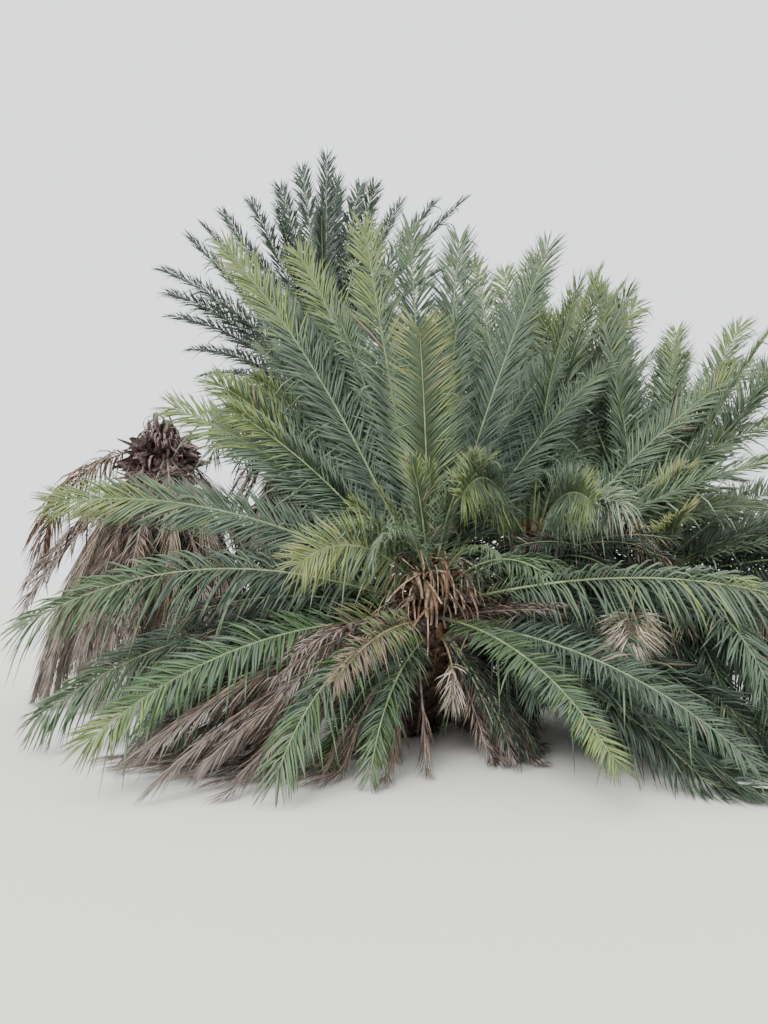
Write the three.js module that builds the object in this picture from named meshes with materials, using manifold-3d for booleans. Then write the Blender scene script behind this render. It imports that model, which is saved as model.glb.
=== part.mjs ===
import * as THREE from "three";
import { mergeVertices } from "three/addons/utils/BufferGeometryUtils.js";
import Module from "manifold-3d";

// A clump of date palms grown from one root: six stems, each with a bud that carries its fronds.
// Millimetres, +Z up, +Y away from the viewer, +X to the viewer's right.
// The origin is the middle of the flat cut under the tallest stem, at ground level.

const { cos, sin, hypot, max, min, floor, ceil, PI } = Math;
const wasm = await Module();
wasm.setup();

// Each stem leans from its foot to its crown, the middle of its bud. A curl of 1 is a straight
// lean, and a larger one leaves the foot flatter and ends upright.
const STEMS = {
  tall: {
    foot: [0, 0], crown: [-380, 950, 3420], curl: 1.15,
    flare: 420, neck: 220, budHeight: 600, budFoot: 200, budTop: 70,
  },
  middle: {
    foot: [680, -290], crown: [1620, -700, 1550], curl: 1.4,
    flare: 360, neck: 180, budHeight: 500, budFoot: 180, budTop: 70,
  },
  front: {
    foot: [420, -860], crown: [670, -1700, 1200], curl: 1.6,
    flare: 360, neck: 190, budHeight: 600, budFoot: 200, budTop: 70,
  },
  right: {
    foot: [1360, -380], crown: [2750, -600, 1400], curl: 1.25,
    flare: 350, neck: 170, budHeight: 450, budFoot: 170, budTop: 70,
  },
  rear: {
    foot: [580, 360], crown: [2000, 1250, 2100], curl: 1.6,
    flare: 340, neck: 180, budHeight: 450, budFoot: 170, budTop: 70,
  },
  dead: {
    foot: [-640, 140], crown: [-2180, 720, 2700], curl: 3,
    flare: 340, neck: 190, budHeight: 450, budFoot: 220, budTop: 140,
  },
};

const STEM_SIDES = 12;
const STEM_RINGS = [0, 0.03, 0.07, 0.13, 0.2, 0.32, 0.48, 0.64, 0.82, 1]; // of the height to the bud
const FLARE_HEIGHT = 500;
const BULGE_SHARE = 0.2; // of the stem's height, over which it swells to the bud
const FIT = 0.3; // clearance between a piece and what carries it

// Fans of fronds. Angles are degrees: heading is the compass turn from +X towards +Y, rise the
// slope where the frond leaves the bud, droop how far it has bent down at its tip, and roll the
// turn of its blade about the midrib. A pair runs from the fan's first frond to its last. share
// is the most fronds that one mesh holds, and reach lengthens the leaflets of short fronds.
const FANS = [
  { at: "front", name: "sail", heading: 165, rise: 67, length: 3380, droop: 16, roll: -74 },
  { at: "front", name: "second", heading: 150, rise: 73, length: 3200, droop: 14, roll: -66 },
  { at: "front", name: "mast", heading: 180, rise: 80, length: 2720, droop: -2, roll: -80 },
  { at: "front", name: "paddle", heading: -100, rise: 84, length: 1820, droop: 20, reach: 1.3 },
  { at: "front", name: "spear", heading: 130, rise: 87, length: 2750, droop: 2, roll: -20 },
  {
    at: "front", name: "tilt", count: 2, heading: [55, 15], rise: [84, 72],
    length: [2850, 3000], droop: 6, roll: [10, 45],
  },
  { at: "front", name: "lean", heading: 34, rise: 66, length: 2850, droop: 14, roll: 45 },
  { at: "front", name: "shoulder", heading: 174, rise: 47, length: 2650, droop: 26, roll: -72 },
  { at: "front", name: "arm", heading: -176, rise: 30, length: 3050, droop: 38, roll: -74 },
  { at: "front", name: "wing", heading: -172, rise: 18, length: 3000, droop: 52, roll: -62 },
  { at: "front", name: "skirt_left", heading: -150, rise: 1, length: 2550, droop: 42, roll: -35 },
  { at: "front", name: "under", heading: -177, rise: 2, length: 3150, droop: 40, roll: -50 },
  { at: "front", name: "skirt_right", heading: -62, rise: -4, length: 2100, droop: 44, roll: 15 },
  { at: "front", name: "skirt_middle", heading: -38, rise: -4, length: 2400, droop: 36, roll: 30 },
  { at: "front", name: "trail", heading: -126, rise: -4, length: 1900, droop: 60, roll: -20 },
  { at: "front", name: "drop", heading: -114, rise: -14, length: 1400, droop: 60 },
  {
    at: "front", name: "curl", heading: -144, rise: 44, length: 1300, droop: 84, roll: -72,
    reach: 1.8,
  },
  { at: "front", name: "rail", heading: -14, rise: 14, length: 3200, droop: 40, roll: 50 },
  { at: "front", name: "low_rail", heading: -10, rise: -4, length: 2700, droop: 36, roll: 40 },
  {
    at: "front", name: "tan", heading: -150, rise: 2, length: 1050, droop: 62, roll: -60,
    dry: true, reach: 1.8,
  },
  {
    at: "front", name: "back", count: 6, heading: [158, 44], rise: [56, 60],
    length: [2900, 3100], droop: 24, roll: [-40, 40],
  },
  {
    at: "front", name: "litter", count: 5, heading: [-168, -84], rise: [-14, -24],
    length: [2100, 1350], droop: [40, 54], bend: 0.6, dry: true,
  },
  {
    at: "tall", name: "left_low", count: 6, share: 3, heading: [132, 170], rise: [24, 52],
    length: [2250, 2500], droop: 28, roll: -40,
  },
  {
    at: "tall", name: "left_high", count: 6, share: 3, heading: [196, 140], rise: [52, 87],
    length: [2150, 2600], droop: 10, roll: -40,
  },
  {
    at: "tall", name: "right_high", count: 6, share: 3, heading: [100, -5], rise: [88, 62],
    length: 2600, droop: [4, 20], roll: [0, 45],
  },
  {
    at: "tall", name: "back_low", count: 6, share: 3, heading: [112, 10], rise: [14, 30],
    length: 2500, droop: 36,
  },
  {
    at: "tall", name: "back_high", count: 4, heading: [130, 30], rise: [50, 56],
    length: 2600, droop: 26,
  },
  {
    at: "tall", name: "thatch", count: 5, heading: [190, 290], rise: [-8, -12],
    length: [1700, 1900], droop: 62, bend: 0.5, dry: true,
  },
  {
    at: "dead", name: "hang_left", count: 5, heading: [145, 220], rise: [-32, -34],
    length: [2600, 2700], droop: 46, bend: 0.35, dry: true,
  },
  {
    at: "dead", name: "hang_front", count: 6, heading: [236, 376], rise: [-26, -16],
    length: [2550, 1900], droop: [56, 46], bend: 0.35, dry: true,
  },
  {
    at: "dead", name: "hang_back", count: 3, heading: [45, 120], rise: -12,
    length: 2500, droop: 58, bend: 0.35, dry: true,
  },
  {
    at: "dead", name: "limp", heading: 188, rise: -12, length: 1750, droop: 78, bend: 1.3,
    dry: true, reach: 1.5,
  },
  {
    at: "middle", name: "hooks", count: 2, heading: [-134, -118], rise: [54, 62],
    length: [1300, 1200], droop: [76, 88], roll: [-70, -60], reach: 1.8,
  },
  {
    at: "middle", name: "silver", heading: -64, rise: 54, length: 1300, droop: 74, roll: 65,
    reach: 1.7,
  },
  { at: "middle", name: "crook", heading: 150, rise: 88, length: 2000, droop: 80, roll: -30 },
  { at: "middle", name: "up_front", heading: -50, rise: 82, length: 2300, droop: 24 },
  {
    at: "middle", name: "up", count: 5, share: 3, heading: [120, 30], rise: [86, 68],
    length: [3200, 2850], droop: [8, 18], roll: [-30, 40],
  },
  {
    at: "middle", name: "right_fan", count: 3, heading: [8, -24], rise: [50, 34],
    length: [2900, 2300], droop: [20, 26], roll: 45,
  },
  { at: "middle", name: "back", count: 4, heading: [160, 40], rise: [46, 36], length: 2800, droop: 30 },
  {
    at: "middle", name: "skirt", count: 4, heading: [-128, -40], rise: -6,
    length: [1700, 2000], droop: 52,
  },
  { at: "right", name: "young", heading: -70, rise: 72, length: 850, droop: 24, reach: 3 },
  {
    at: "right", name: "up", count: 6, share: 3, heading: [150, -10], rise: [84, 64],
    length: [2650, 2700], droop: [8, 16], roll: [-30, 40],
  },
  {
    at: "right", name: "side", count: 3, heading: [-24, 24], rise: [14, 38],
    length: 2600, droop: 40, roll: 40,
  },
  {
    at: "right", name: "skirt", count: 6, heading: [-168, -36], rise: [0, 6],
    length: [2000, 2400], droop: 50, roll: [-30, 30],
  },
  {
    at: "right", name: "litter", count: 4, heading: [-150, -60], rise: -22,
    length: [1500, 1700], droop: 52, bend: 0.6, dry: true,
  },
  { at: "right", name: "back", count: 3, heading: [30, 98], rise: [20, 30], length: 2500, droop: 34 },
  { at: "rear", name: "up", count: 6, heading: [0, 190], rise: [78, 66], length: 2900, droop: 16 },
  { at: "rear", name: "back", count: 4, heading: [10, 140], rise: [24, 34], length: 2800, droop: 30 },
];

const FROND_STEPS = 32;
const FROND_BEND = 1.4; // power of the length that the droop follows, where a fan gives no bend
const FROND_SHARE = 6;
const GROUND_REST = 60; // lowest that a frond's midrib lies
const JITTER = { heading: 4, rise: 3, length: 0.05, roll: 30 };
const SEAT_DEPTH = 20; // how far a midrib starts inside the bud, before the bud is cut from it
const SEAT_SPACING = 110;
const SEAT_PASSES = 60;
const SEAT_REACH = 0.8; // of the bud's foot radius, where the spacing round it is measured
const SEAT_PUSH = 0.25; // share of what is missing that one pass moves each of two crowded seats
const SEAT_LIMITS = [0.06, 0.96]; // shares of the bud's height, from its top
const APART = 85; // wanted between the midribs of two meshes
const TURN_STEP = 3;
const TURN_STEPS = 5;
const FREE_STEPS = 7; // of a frond, that may lie beside its own bud
const STEM_LEVELS = 24; // heights at which a stem's distance is measured

// The midrib is flat above and keeled below: its half width and its depth at the bud, where the
// blade starts and at the tip.
const RIB_STATIONS = [0, 5, 8, 11, 14, 17, 20, 23, 26, 29];
const BLADE_START = 5;
const RIB_HALF_WIDTH = [25, 16, 7];
const RIB_DEPTH = [34, 24, 10];
const RIB_SIDES = 3;

// A leaflet spans one stretch of midrib and stands for the spray of leaflets along it.
const LEAFLET_LENGTH = 420;
const LEAFLET_FULL_FROND = 2600; // frond length from which leaflets have their full length
const LEAFLET_PROFILE = { least: 0.74, start: 0.15, run: 0.92 }; // an arch of length along the blade
const LEAFLET_ANGLES = [58, 28]; // from the midrib, at the blade's start and at its tip
const LEAFLET_LIFTS = [36, 4]; // out of the blade's plane, in turn along the midrib
const LEAFLET_SAG = { green: 0.12, low: 0.3, dry: 0.35 }; // of its length
const LOW_RISE = 25;
const DRY_ANGLE_SHARE = 0.55;
const LEAFLET_SIZES = [1, 0.75, 0.5, 0.3]; // tried in turn until one is clear of other fronds
const LEAFLET_CLEARANCE = 26;
const LEAFLET_LOWEST = 15;

// Dead, curled leaf bases left on the head of the dead stem.
const STUBS = {
  at: "dead", count: 14, turn: 137.5, heights: [0.45, -0.3], length: 420, rise: 30, curl: 170,
  halfWidth: 42, halfDepth: 16, taper: 0.6, steps: 4, clearance: 90,
};

const LOOKS = {
  bark: { color: 0x6b5a4a, roughness: 0.9, metalness: 0 },
  green: { color: 0x66745a, roughness: 0.55, metalness: 0 },
  dry: { color: 0x9c8a72, roughness: 0.85, metalness: 0 },
};

const radians = THREE.MathUtils.degToRad;
const lerp = THREE.MathUtils.lerp;
const along = (value, t) => (Array.isArray(value) ? lerp(value[0], value[1], t) : value);

// A repeatable number from -0.5 to 0.5 for one frond.
function wobble(index, salt) {
  const v = sin(index * 12.9898 + salt * 78.233) * 43758.5453;
  return v - floor(v) - 0.5;
}

const budBottom = (stem) => stem.crown[2] - stem.budHeight / 2;
const stemTop = (stem) => stem.crown[2] + stem.budHeight / 2;

function stemAxis(stem, z) {
  const t = min(z / budBottom(stem), 1);
  const k = 1 - (1 - t) ** stem.curl;
  return new THREE.Vector3(lerp(stem.foot[0], stem.crown[0], k), lerp(stem.foot[1], stem.crown[1], k), z);
}

function stemRadius(stem, z) {
  const foot = budBottom(stem);
  if (z >= foot) return lerp(stem.budFoot, stem.budTop, (z - foot) / stem.budHeight);
  const swell = max(0, (z / foot - 1 + BULGE_SHARE) / BULGE_SHARE);
  const flare = max(0, 1 - z / FLARE_HEIGHT) ** 2;
  return lerp(stem.neck, stem.budFoot, swell) + (stem.flare - stem.neck) * flare;
}

// A closed skin over rings that all have the same number of points, with a flat face at each end.
function loft(rings) {
  const count = rings[0].length;
  const index = [];
  for (let i = 0; i + 1 < rings.length; i++) {
    for (let j = 0; j < count; j++) {
      const a = i * count + j;
      const b = i * count + ((j + 1) % count);
      index.push(a, b, b + count, a, b + count, a + count);
    }
  }
  const last = (rings.length - 1) * count;
  for (let j = 1; j + 1 < count; j++) {
    index.push(0, j + 1, j, last, last + j, last + j + 1);
  }
  return new THREE.BufferGeometry().setFromPoints(rings.flat()).setIndex(index);
}

// Level rings, each drawn out along the lean so that the stem stays round across its own line.
function stemGeometry(stem, grow = 0) {
  const levels = [...STEM_RINGS.map((share) => share * budBottom(stem)), stemTop(stem)];
  const rings = levels.map((z) => {
    const centre = stemAxis(stem, z);
    const next = stemAxis(stem, z + 1);
    const slope = hypot(next.x - centre.x, next.y - centre.y);
    const lean = new THREE.Vector3(slope > 0 ? next.x - centre.x : 1, next.y - centre.y, 0).normalize();
    const across = new THREE.Vector3(-lean.y, lean.x, 0);
    const radius = stemRadius(stem, z) + grow;
    return Array.from({ length: STEM_SIDES }, (_, j) => {
      const a = (2 * PI * j) / STEM_SIDES;
      return centre.clone().addScaledVector(lean, radius * hypot(1, slope) * cos(a))
        .addScaledVector(across, radius * sin(a));
    });
  });
  if (grow > 0) rings.at(-1).forEach((point) => (point.z += grow));
  return loft(rings);
}

// A point list that leaves start at a slope and bends down steadily, resting on the ground at last.
function frondCurve(start, heading, rise, length, droop, bend) {
  const points = [start.clone()];
  const free = start.clone();
  for (let i = 0; i < FROND_STEPS; i++) {
    const slope = radians(rise) - radians(droop) * ((i + 0.5) / FROND_STEPS) ** bend;
    const step = length / FROND_STEPS;
    free.x += step * cos(slope) * cos(radians(heading));
    free.y += step * cos(slope) * sin(radians(heading));
    free.z += step * sin(slope);
    points.push(new THREE.Vector3(free.x, free.y, max(free.z, GROUND_REST)));
  }
  return points;
}

// One entry for each mesh, with the fronds that it holds.
function layOut() {
  const holders = [];
  for (const fan of FANS) {
    const count = fan.count ?? 1;
    const parts = ceil(count / (fan.share ?? FROND_SHARE));
    for (let i = 0; i < count; i++) {
      const part = floor((i * parts) / count);
      const name = fan.at + "_" + fan.name + (parts > 1 ? "_" + (part + 1) : "");
      if (holders.at(-1)?.name !== name) holders.push({ name, at: fan.at, dry: !!fan.dry, fronds: [] });
      const t = count > 1 ? i / (count - 1) : 0;
      holders.at(-1).fronds.push({
        heading: along(fan.heading, t),
        rise: along(fan.rise, t),
        length: along(fan.length, t),
        droop: along(fan.droop, t),
        roll: along(fan.roll ?? 0, t),
        bend: fan.bend ?? FROND_BEND,
        reach: fan.reach ?? 1,
      });
    }
  }
  return holders;
}

// The youngest, steepest fronds sit at the bud's top, and seats that crowd push each other apart.
function seatOnBud(stem, own) {
  for (const holder of own) {
    const total = (pick) => holder.fronds.reduce((sum, frond) => sum + pick(frond), 0);
    holder.rise = total((frond) => frond.rise) / holder.fronds.length;
    const north = total((frond) => sin(radians(frond.heading)));
    const east = total((frond) => cos(radians(frond.heading)));
    holder.turn = Math.atan2(north, east);
  }
  const order = [...own].sort((a, b) => b.rise - a.rise);
  order.forEach((holder, i) => (holder.depth = (i + 0.5) / order.length));
  const reach = stem.budFoot * SEAT_REACH;
  for (let pass = 0; pass < SEAT_PASSES; pass++) {
    order.forEach((a, i) => order.slice(i + 1).forEach((b) => {
      const full = 2 * PI;
      const turn = b.turn - a.turn - full * Math.round((b.turn - a.turn) / full);
      const drop = (b.depth - a.depth) * stem.budHeight;
      const gap = hypot(turn * reach, drop);
      if (gap >= SEAT_SPACING) return;
      const push = (SEAT_PUSH * (SEAT_SPACING - gap)) / max(gap, 1);
      a.turn -= turn * push;
      b.turn += turn * push;
      a.depth -= (drop * push) / stem.budHeight;
      b.depth += (drop * push) / stem.budHeight;
    }));
    for (const holder of order) holder.depth = min(max(holder.depth, SEAT_LIMITS[0]), SEAT_LIMITS[1]);
  }
  for (const holder of own) {
    const z = stem.crown[2] + stem.budHeight * (0.5 - holder.depth);
    const outward = new THREE.Vector3(cos(holder.turn), sin(holder.turn), 0);
    holder.seat = stemAxis(stem, z).addScaledVector(outward, stemRadius(stem, z) - SEAT_DEPTH);
  }
}

const nearest = new THREE.Vector3();

function pointToSteps(point, steps) {
  let gap = Infinity;
  for (const step of steps) {
    step.closestPointToPoint(point, true, nearest);
    gap = min(gap, nearest.distanceTo(point));
  }
  return gap;
}

const stepsOf = (points) => points.slice(1).map((point, i) => new THREE.Line3(points[i], point));

function curveGap(a, b) {
  if (a.ball.center.distanceTo(b.ball.center) > a.ball.radius + b.ball.radius + APART) return Infinity;
  const forward = min(...a.points.map((point) => pointToSteps(point, b.steps)));
  return min(forward, ...b.points.map((point) => pointToSteps(point, a.steps)));
}

function stemGap(points, stem) {
  let gap = Infinity;
  for (let i = 0; i <= STEM_LEVELS; i++) {
    const z = (stemTop(stem) * i) / STEM_LEVELS;
    const centre = stemAxis(stem, z);
    const radius = stemRadius(stem, z);
    for (const point of points) gap = min(gap, point.distanceTo(centre) - radius);
  }
  return gap;
}

// Each frond in turn takes the first small turn of heading and rise that keeps it clear of the rest.
function placeFronds(holders) {
  const turns = [[0, 0]];
  for (let size = 1; size <= TURN_STEPS; size++) {
    for (const [a, b] of [[1, 0], [-1, 0], [0, 1], [0, -1], [1, 1], [-1, 1], [1, -1], [-1, -1]]) {
      turns.push([a * size * TURN_STEP, b * size * TURN_STEP]);
    }
  }
  const placed = [];
  for (const holder of holders) {
    for (const frond of holder.fronds) {
      const index = placed.length + 1;
      const heading = frond.heading + JITTER.heading * wobble(index, 1);
      const rise = frond.rise + JITTER.rise * wobble(index, 2);
      frond.length *= 1 + JITTER.length * wobble(index, 3);
      frond.roll += JITTER.roll * wobble(index, 4);
      let best = { gap: -Infinity };
      for (const [turn, lift] of turns) {
        const { length, droop, bend } = frond;
        const points = frondCurve(holder.seat, heading + turn, rise + lift, length, droop, bend);
        const tried = { points, steps: stepsOf(points), ball: ballOf(points), heading: heading + turn };
        const others = placed.filter((other) => other.holder !== holder);
        const stemGaps = Object.entries(STEMS).map(([at, stem]) =>
          stemGap(at === holder.at ? points.slice(FREE_STEPS) : points, stem));
        tried.gap = min(...others.map((other) => curveGap(tried, other)), ...stemGaps);
        if (tried.gap > best.gap) best = tried;
        if (best.gap >= APART) break;
      }
      Object.assign(frond, best, { holder });
      placed.push(frond);
    }
  }
  return placed;
}

// Unit vectors along the midrib, across the blade and above it. The petiole twists by the roll.
function bladeFrame(frond, from, to) {
  const forward = frond.points[to].clone().sub(frond.points[from]).normalize();
  const level = new THREE.Vector3(-sin(radians(frond.heading)), cos(radians(frond.heading)), 0);
  const twist = radians(frond.roll) * min(1, (from + to) / 2 / BLADE_START);
  const across = level.applyAxisAngle(forward, twist);
  return { forward, across, above: forward.clone().cross(across) };
}

// Where a side's leaflet ends on a stretch of the blade.
function leafletTip(frond, station, side, size) {
  const [from, to] = [RIB_STATIONS[station], RIB_STATIONS[station + 1]];
  const middle = frond.points[from].clone().lerp(frond.points[to], 0.5);
  const { forward, across, above } = bladeFrame(frond, from, to);
  const t = (from - BLADE_START) / (FROND_STEPS - BLADE_START);
  const { dry } = frond.holder;
  const angle = radians(lerp(...LEAFLET_ANGLES, t) * (dry ? DRY_ANGLE_SHARE : 1));
  const arch = sin(PI * min(1, LEAFLET_PROFILE.start + LEAFLET_PROFILE.run * t));
  const profile = lerp(LEAFLET_PROFILE.least, 1, arch);
  const share = min(1, (frond.length / LEAFLET_FULL_FROND) * frond.reach);
  const length = LEAFLET_LENGTH * share * profile * size;
  const greenSag = frond.holder.rise < LOW_RISE ? LEAFLET_SAG.low : LEAFLET_SAG.green;
  const sag = dry ? LEAFLET_SAG.dry : greenSag;
  const lift = radians(LEAFLET_LIFTS[station % 2]);
  const tip = middle.addScaledVector(forward, length * cos(angle))
    .addScaledVector(across, side * length * sin(angle) * cos(lift))
    .addScaledVector(above, length * sin(angle) * sin(lift));
  tip.z = max(tip.z - sag * length, LEAFLET_LOWEST);
  return tip;
}

const touch = new THREE.Vector3();
const ray = new THREE.Ray();

function edgeThrough(edge, face) {
  ray.origin.copy(edge.start);
  ray.lookAt(edge.end);
  const hit = ray.intersectTriangle(face.a, face.b, face.c, false, touch);
  return !!hit && hit.distanceTo(edge.start) <= edge.distance();
}

// Distance between two flat shapes: none where an edge of one runs through the other, or else
// the least of edge to edge and corner to face.
function shapeGap(a, b) {
  let gap = Infinity;
  for (const [one, other] of [[a, b], [b, a]]) {
    if (!other.face) continue;
    if (one.edges.some((edge) => edgeThrough(edge, other.face))) return 0;
    for (const corner of one.corners) {
      gap = min(gap, other.face.closestPointToPoint(corner, touch).distanceTo(corner));
    }
  }
  for (const edge of a.edges) {
    for (const other of b.edges) gap = min(gap, Math.sqrt(edge.distanceSqToLine3(other)));
  }
  return gap;
}

const ballOf = (points) => new THREE.Sphere().setFromPoints(points);

// A stretch of a midrib or strap, and a leaflet, as their middle surfaces.
function barShape(step) {
  const corners = [step.start, step.end];
  return { corners, edges: [step], ball: ballOf(corners) };
}

function leafletShape(a, b, tip) {
  const corners = [a, b, tip];
  const edges = corners.map((corner, i) => new THREE.Line3(corner, corners[(i + 1) % 3]));
  return { corners, edges, face: new THREE.Triangle(a, b, tip), ball: ballOf(corners) };
}

function isClear(a, b) {
  const apart = a.ball.center.distanceTo(b.ball.center) - a.ball.radius - b.ball.radius;
  return apart > LEAFLET_CLEARANCE || shapeGap(a, b) >= LEAFLET_CLEARANCE;
}

// Gives every frond its leaflets, the largest that stay clear of other fronds, in frond order.
function growLeaflets(placed, stubs) {
  const taken = stubs.flatMap((stub) => stub.steps.map((step) => ({ shape: barShape(step) })));
  for (const frond of placed) {
    for (const step of frond.steps) taken.push({ frond, shape: barShape(step) });
  }
  for (const frond of placed) {
    frond.tips = [];
    for (let i = 0; i + 1 < RIB_STATIONS.length; i++) {
      const [from, to] = [RIB_STATIONS[i], RIB_STATIONS[i + 1]];
      if (from < BLADE_START) continue;
      for (const side of [1, -1]) {
        for (const size of LEAFLET_SIZES) {
          const tip = leafletTip(frond, i, side, size);
          const shape = leafletShape(frond.points[from], frond.points[to], tip);
          const clear = taken.every((other) => other.frond === frond || isClear(shape, other.shape));
          const outer = [tip, tip.clone().lerp(frond.points[to], 0.5)];
          const free = Object.values(STEMS).every((stem) => stemGap(outer, stem) >= LEAFLET_CLEARANCE);
          if (!clear || !free) continue;
          taken.push({ frond, shape });
          frond.tips.push({ station: i, side, tip });
          break;
        }
      }
    }
  }
}

// Half sizes at a step: from the bud to the blade's start, then on to the tip.
function ribSize([base, start, end], step) {
  if (step < BLADE_START) return lerp(base, start, step / BLADE_START);
  return lerp(start, end, (step - BLADE_START) / (FROND_STEPS - BLADE_START));
}

// The midrib is a keeled bar that ends in a point. On a stretch with a leaflet, the bar's side
// face is drawn out to the leaflet's tip, so the blade is cut to the rib between them.
function frondGeometry(frond) {
  const { points } = frond;
  const vertices = [];
  for (const step of RIB_STATIONS) {
    const { across, above } = bladeFrame(frond, max(step - 1, 0), step + 1);
    const width = ribSize(RIB_HALF_WIDTH, step);
    const depth = ribSize(RIB_DEPTH, step);
    for (const [side, top] of [[1, 0.5], [-1, 0.5], [0, -0.5]]) {
      const corner = points[step].clone().addScaledVector(across, side * width);
      vertices.push(corner.addScaledVector(above, top * depth));
    }
  }
  const index = [2, 1, 0];
  for (let i = 0; i + 1 < RIB_STATIONS.length; i++) {
    const [left, right, keel] = [0, 1, 2].map((corner) => RIB_SIDES * i + corner);
    for (const [side, a, b] of [[0, left, right], [-1, right, keel], [1, keel, left]]) {
      const [c, d] = [b + RIB_SIDES, a + RIB_SIDES];
      const found = frond.tips.find((tip) => tip.station === i && tip.side === side);
      if (!found) {
        index.push(a, b, c, a, c, d);
        continue;
      }
      const apex = vertices.push(found.tip) - 1;
      index.push(a, b, apex, b, c, apex, c, d, apex, d, a, apex);
    }
  }
  const end = RIB_SIDES * (RIB_STATIONS.length - 1);
  const apex = vertices.push(points[FROND_STEPS].clone()) - 1;
  for (let j = 0; j < RIB_SIDES; j++) index.push(end + j, end + ((j + 1) % RIB_SIDES), apex);
  return new THREE.BufferGeometry().setFromPoints(vertices).setIndex(index);
}

function solidOf(geometry) {
  const bare = mergeVertices(geometry, 1e-3);
  const solid = new wasm.Manifold(new wasm.Mesh({
    numProp: 3,
    vertProperties: bare.getAttribute("position").array,
    triVerts: new Uint32Array(bare.index.array),
  }));
  if (solid.volume() <= 0) throw new Error("a solid's faces point inwards");
  return solid;
}

function meshOf(name, solid, look) {
  const { vertProperties, triVerts } = solid.getMesh();
  const geometry = new THREE.BufferGeometry()
    .setAttribute("position", new THREE.BufferAttribute(vertProperties, 3))
    .setIndex(new THREE.BufferAttribute(triVerts, 1));
  geometry.computeVertexNormals();
  const material = new THREE.MeshStandardMaterial({ ...LOOKS[look], flatShading: true });
  const mesh = new THREE.Mesh(geometry, material);
  mesh.name = name;
  return mesh;
}

// A curled strap's middle line: it leaves the dead head outwards and turns up and back over it.
function stubCurve(stem, i) {
  const turn = radians(i * STUBS.turn);
  const outward = new THREE.Vector3(cos(turn), sin(turn), 0);
  const z = stem.crown[2] + stem.budHeight * lerp(...STUBS.heights, (i + 0.5) / STUBS.count);
  const start = stemAxis(stem, z).addScaledVector(outward, stemRadius(stem, z) - 2 * SEAT_DEPTH);
  const points = [start];
  for (let j = 0; j < STUBS.steps; j++) {
    const slope = radians(STUBS.rise + STUBS.curl * ((j + 0.5) / STUBS.steps) ** 2);
    const forward = outward.clone().multiplyScalar(cos(slope)).setZ(sin(slope));
    points.push(points[j].clone().addScaledVector(forward, STUBS.length / STUBS.steps));
  }
  return { outward, points, steps: stepsOf(points), ball: ballOf(points) };
}

function stubGeometry({ outward, points }) {
  const across = new THREE.Vector3(-outward.y, outward.x, 0);
  return loft(points.map((point, j) => {
    const forward = points[min(j + 1, STUBS.steps)].clone().sub(points[max(j - 1, 0)]).normalize();
    const above = forward.cross(across);
    const width = STUBS.halfWidth * (1 - (STUBS.taper * j) / STUBS.steps);
    const depth = STUBS.halfDepth * (1 - (STUBS.taper * j) / STUBS.steps);
    return [[1, 1], [-1, 1], [-1, -1], [1, -1]].map(([side, top]) =>
      point.clone().addScaledVector(across, side * width).addScaledVector(above, top * depth));
  }));
}

// The stems, each cut clear of the flares of the ones before it.
function addStems(plant, stubs) {
  const grown = {};
  for (const [at, stem] of Object.entries(STEMS)) {
    let solid = solidOf(stemGeometry(stem));
    if (at === STUBS.at) solid = stubs.reduce((sum, stub) => sum.add(solidOf(stubGeometry(stub))), solid);
    solid = Object.values(grown).reduce((left, other) => left.subtract(other), solid);
    plant.add(meshOf(at + "_stem", solid, "bark"));
    grown[at] = solidOf(stemGeometry(stem, FIT));
  }
  return grown;
}

const holders = layOut();
for (const [at, stem] of Object.entries(STEMS)) {
  seatOnBud(stem, holders.filter((holder) => holder.at === at));
}
const placed = placeFronds(holders);
const stubs = Array.from({ length: STUBS.count }, (_, i) => stubCurve(STEMS[STUBS.at], i))
  .filter((stub) => placed.every((frond) => curveGap(stub, frond) >= STUBS.clearance));
growLeaflets(placed, stubs);

const plant = new THREE.Group();
const grown = addStems(plant, stubs);
for (const holder of holders) {
  const joined = holder.fronds.map((frond) => solidOf(frondGeometry(frond))).reduce((a, b) => a.add(b));
  const noun = holder.fronds.length > 1 ? "_fronds" : "_frond";
  plant.add(meshOf(holder.name + noun, joined.subtract(grown[holder.at]), holder.dry ? "dry" : "green"));
}

export default plant;
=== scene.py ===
"""The looks of a date palm clump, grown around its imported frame.

Metres, +Z up, +Y away from the viewer and +X to the viewer's right. Every frond leaves its bud by
the rule that the solids follow, and carries its leaflets one by one where the solids have sprays.
"""

import logging
import math
from collections.abc import Sequence
from dataclasses import dataclass, field
from enum import Enum

import bpy
import numpy as np
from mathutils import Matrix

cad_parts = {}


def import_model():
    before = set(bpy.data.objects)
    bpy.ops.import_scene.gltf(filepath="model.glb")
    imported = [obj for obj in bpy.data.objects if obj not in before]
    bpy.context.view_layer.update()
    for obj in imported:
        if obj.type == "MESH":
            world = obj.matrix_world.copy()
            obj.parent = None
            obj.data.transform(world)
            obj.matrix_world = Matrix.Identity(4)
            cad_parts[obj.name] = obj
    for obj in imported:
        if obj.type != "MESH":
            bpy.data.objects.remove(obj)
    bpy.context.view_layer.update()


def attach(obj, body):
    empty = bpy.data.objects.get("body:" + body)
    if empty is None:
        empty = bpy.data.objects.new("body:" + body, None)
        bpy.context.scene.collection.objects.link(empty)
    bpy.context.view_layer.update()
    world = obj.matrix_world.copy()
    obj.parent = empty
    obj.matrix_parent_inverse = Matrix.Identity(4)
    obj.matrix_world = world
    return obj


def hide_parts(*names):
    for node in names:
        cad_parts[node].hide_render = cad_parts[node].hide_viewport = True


LOG = logging.getLogger("date_palm")
Array = np.ndarray
Span = float | tuple[float, float]

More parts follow.
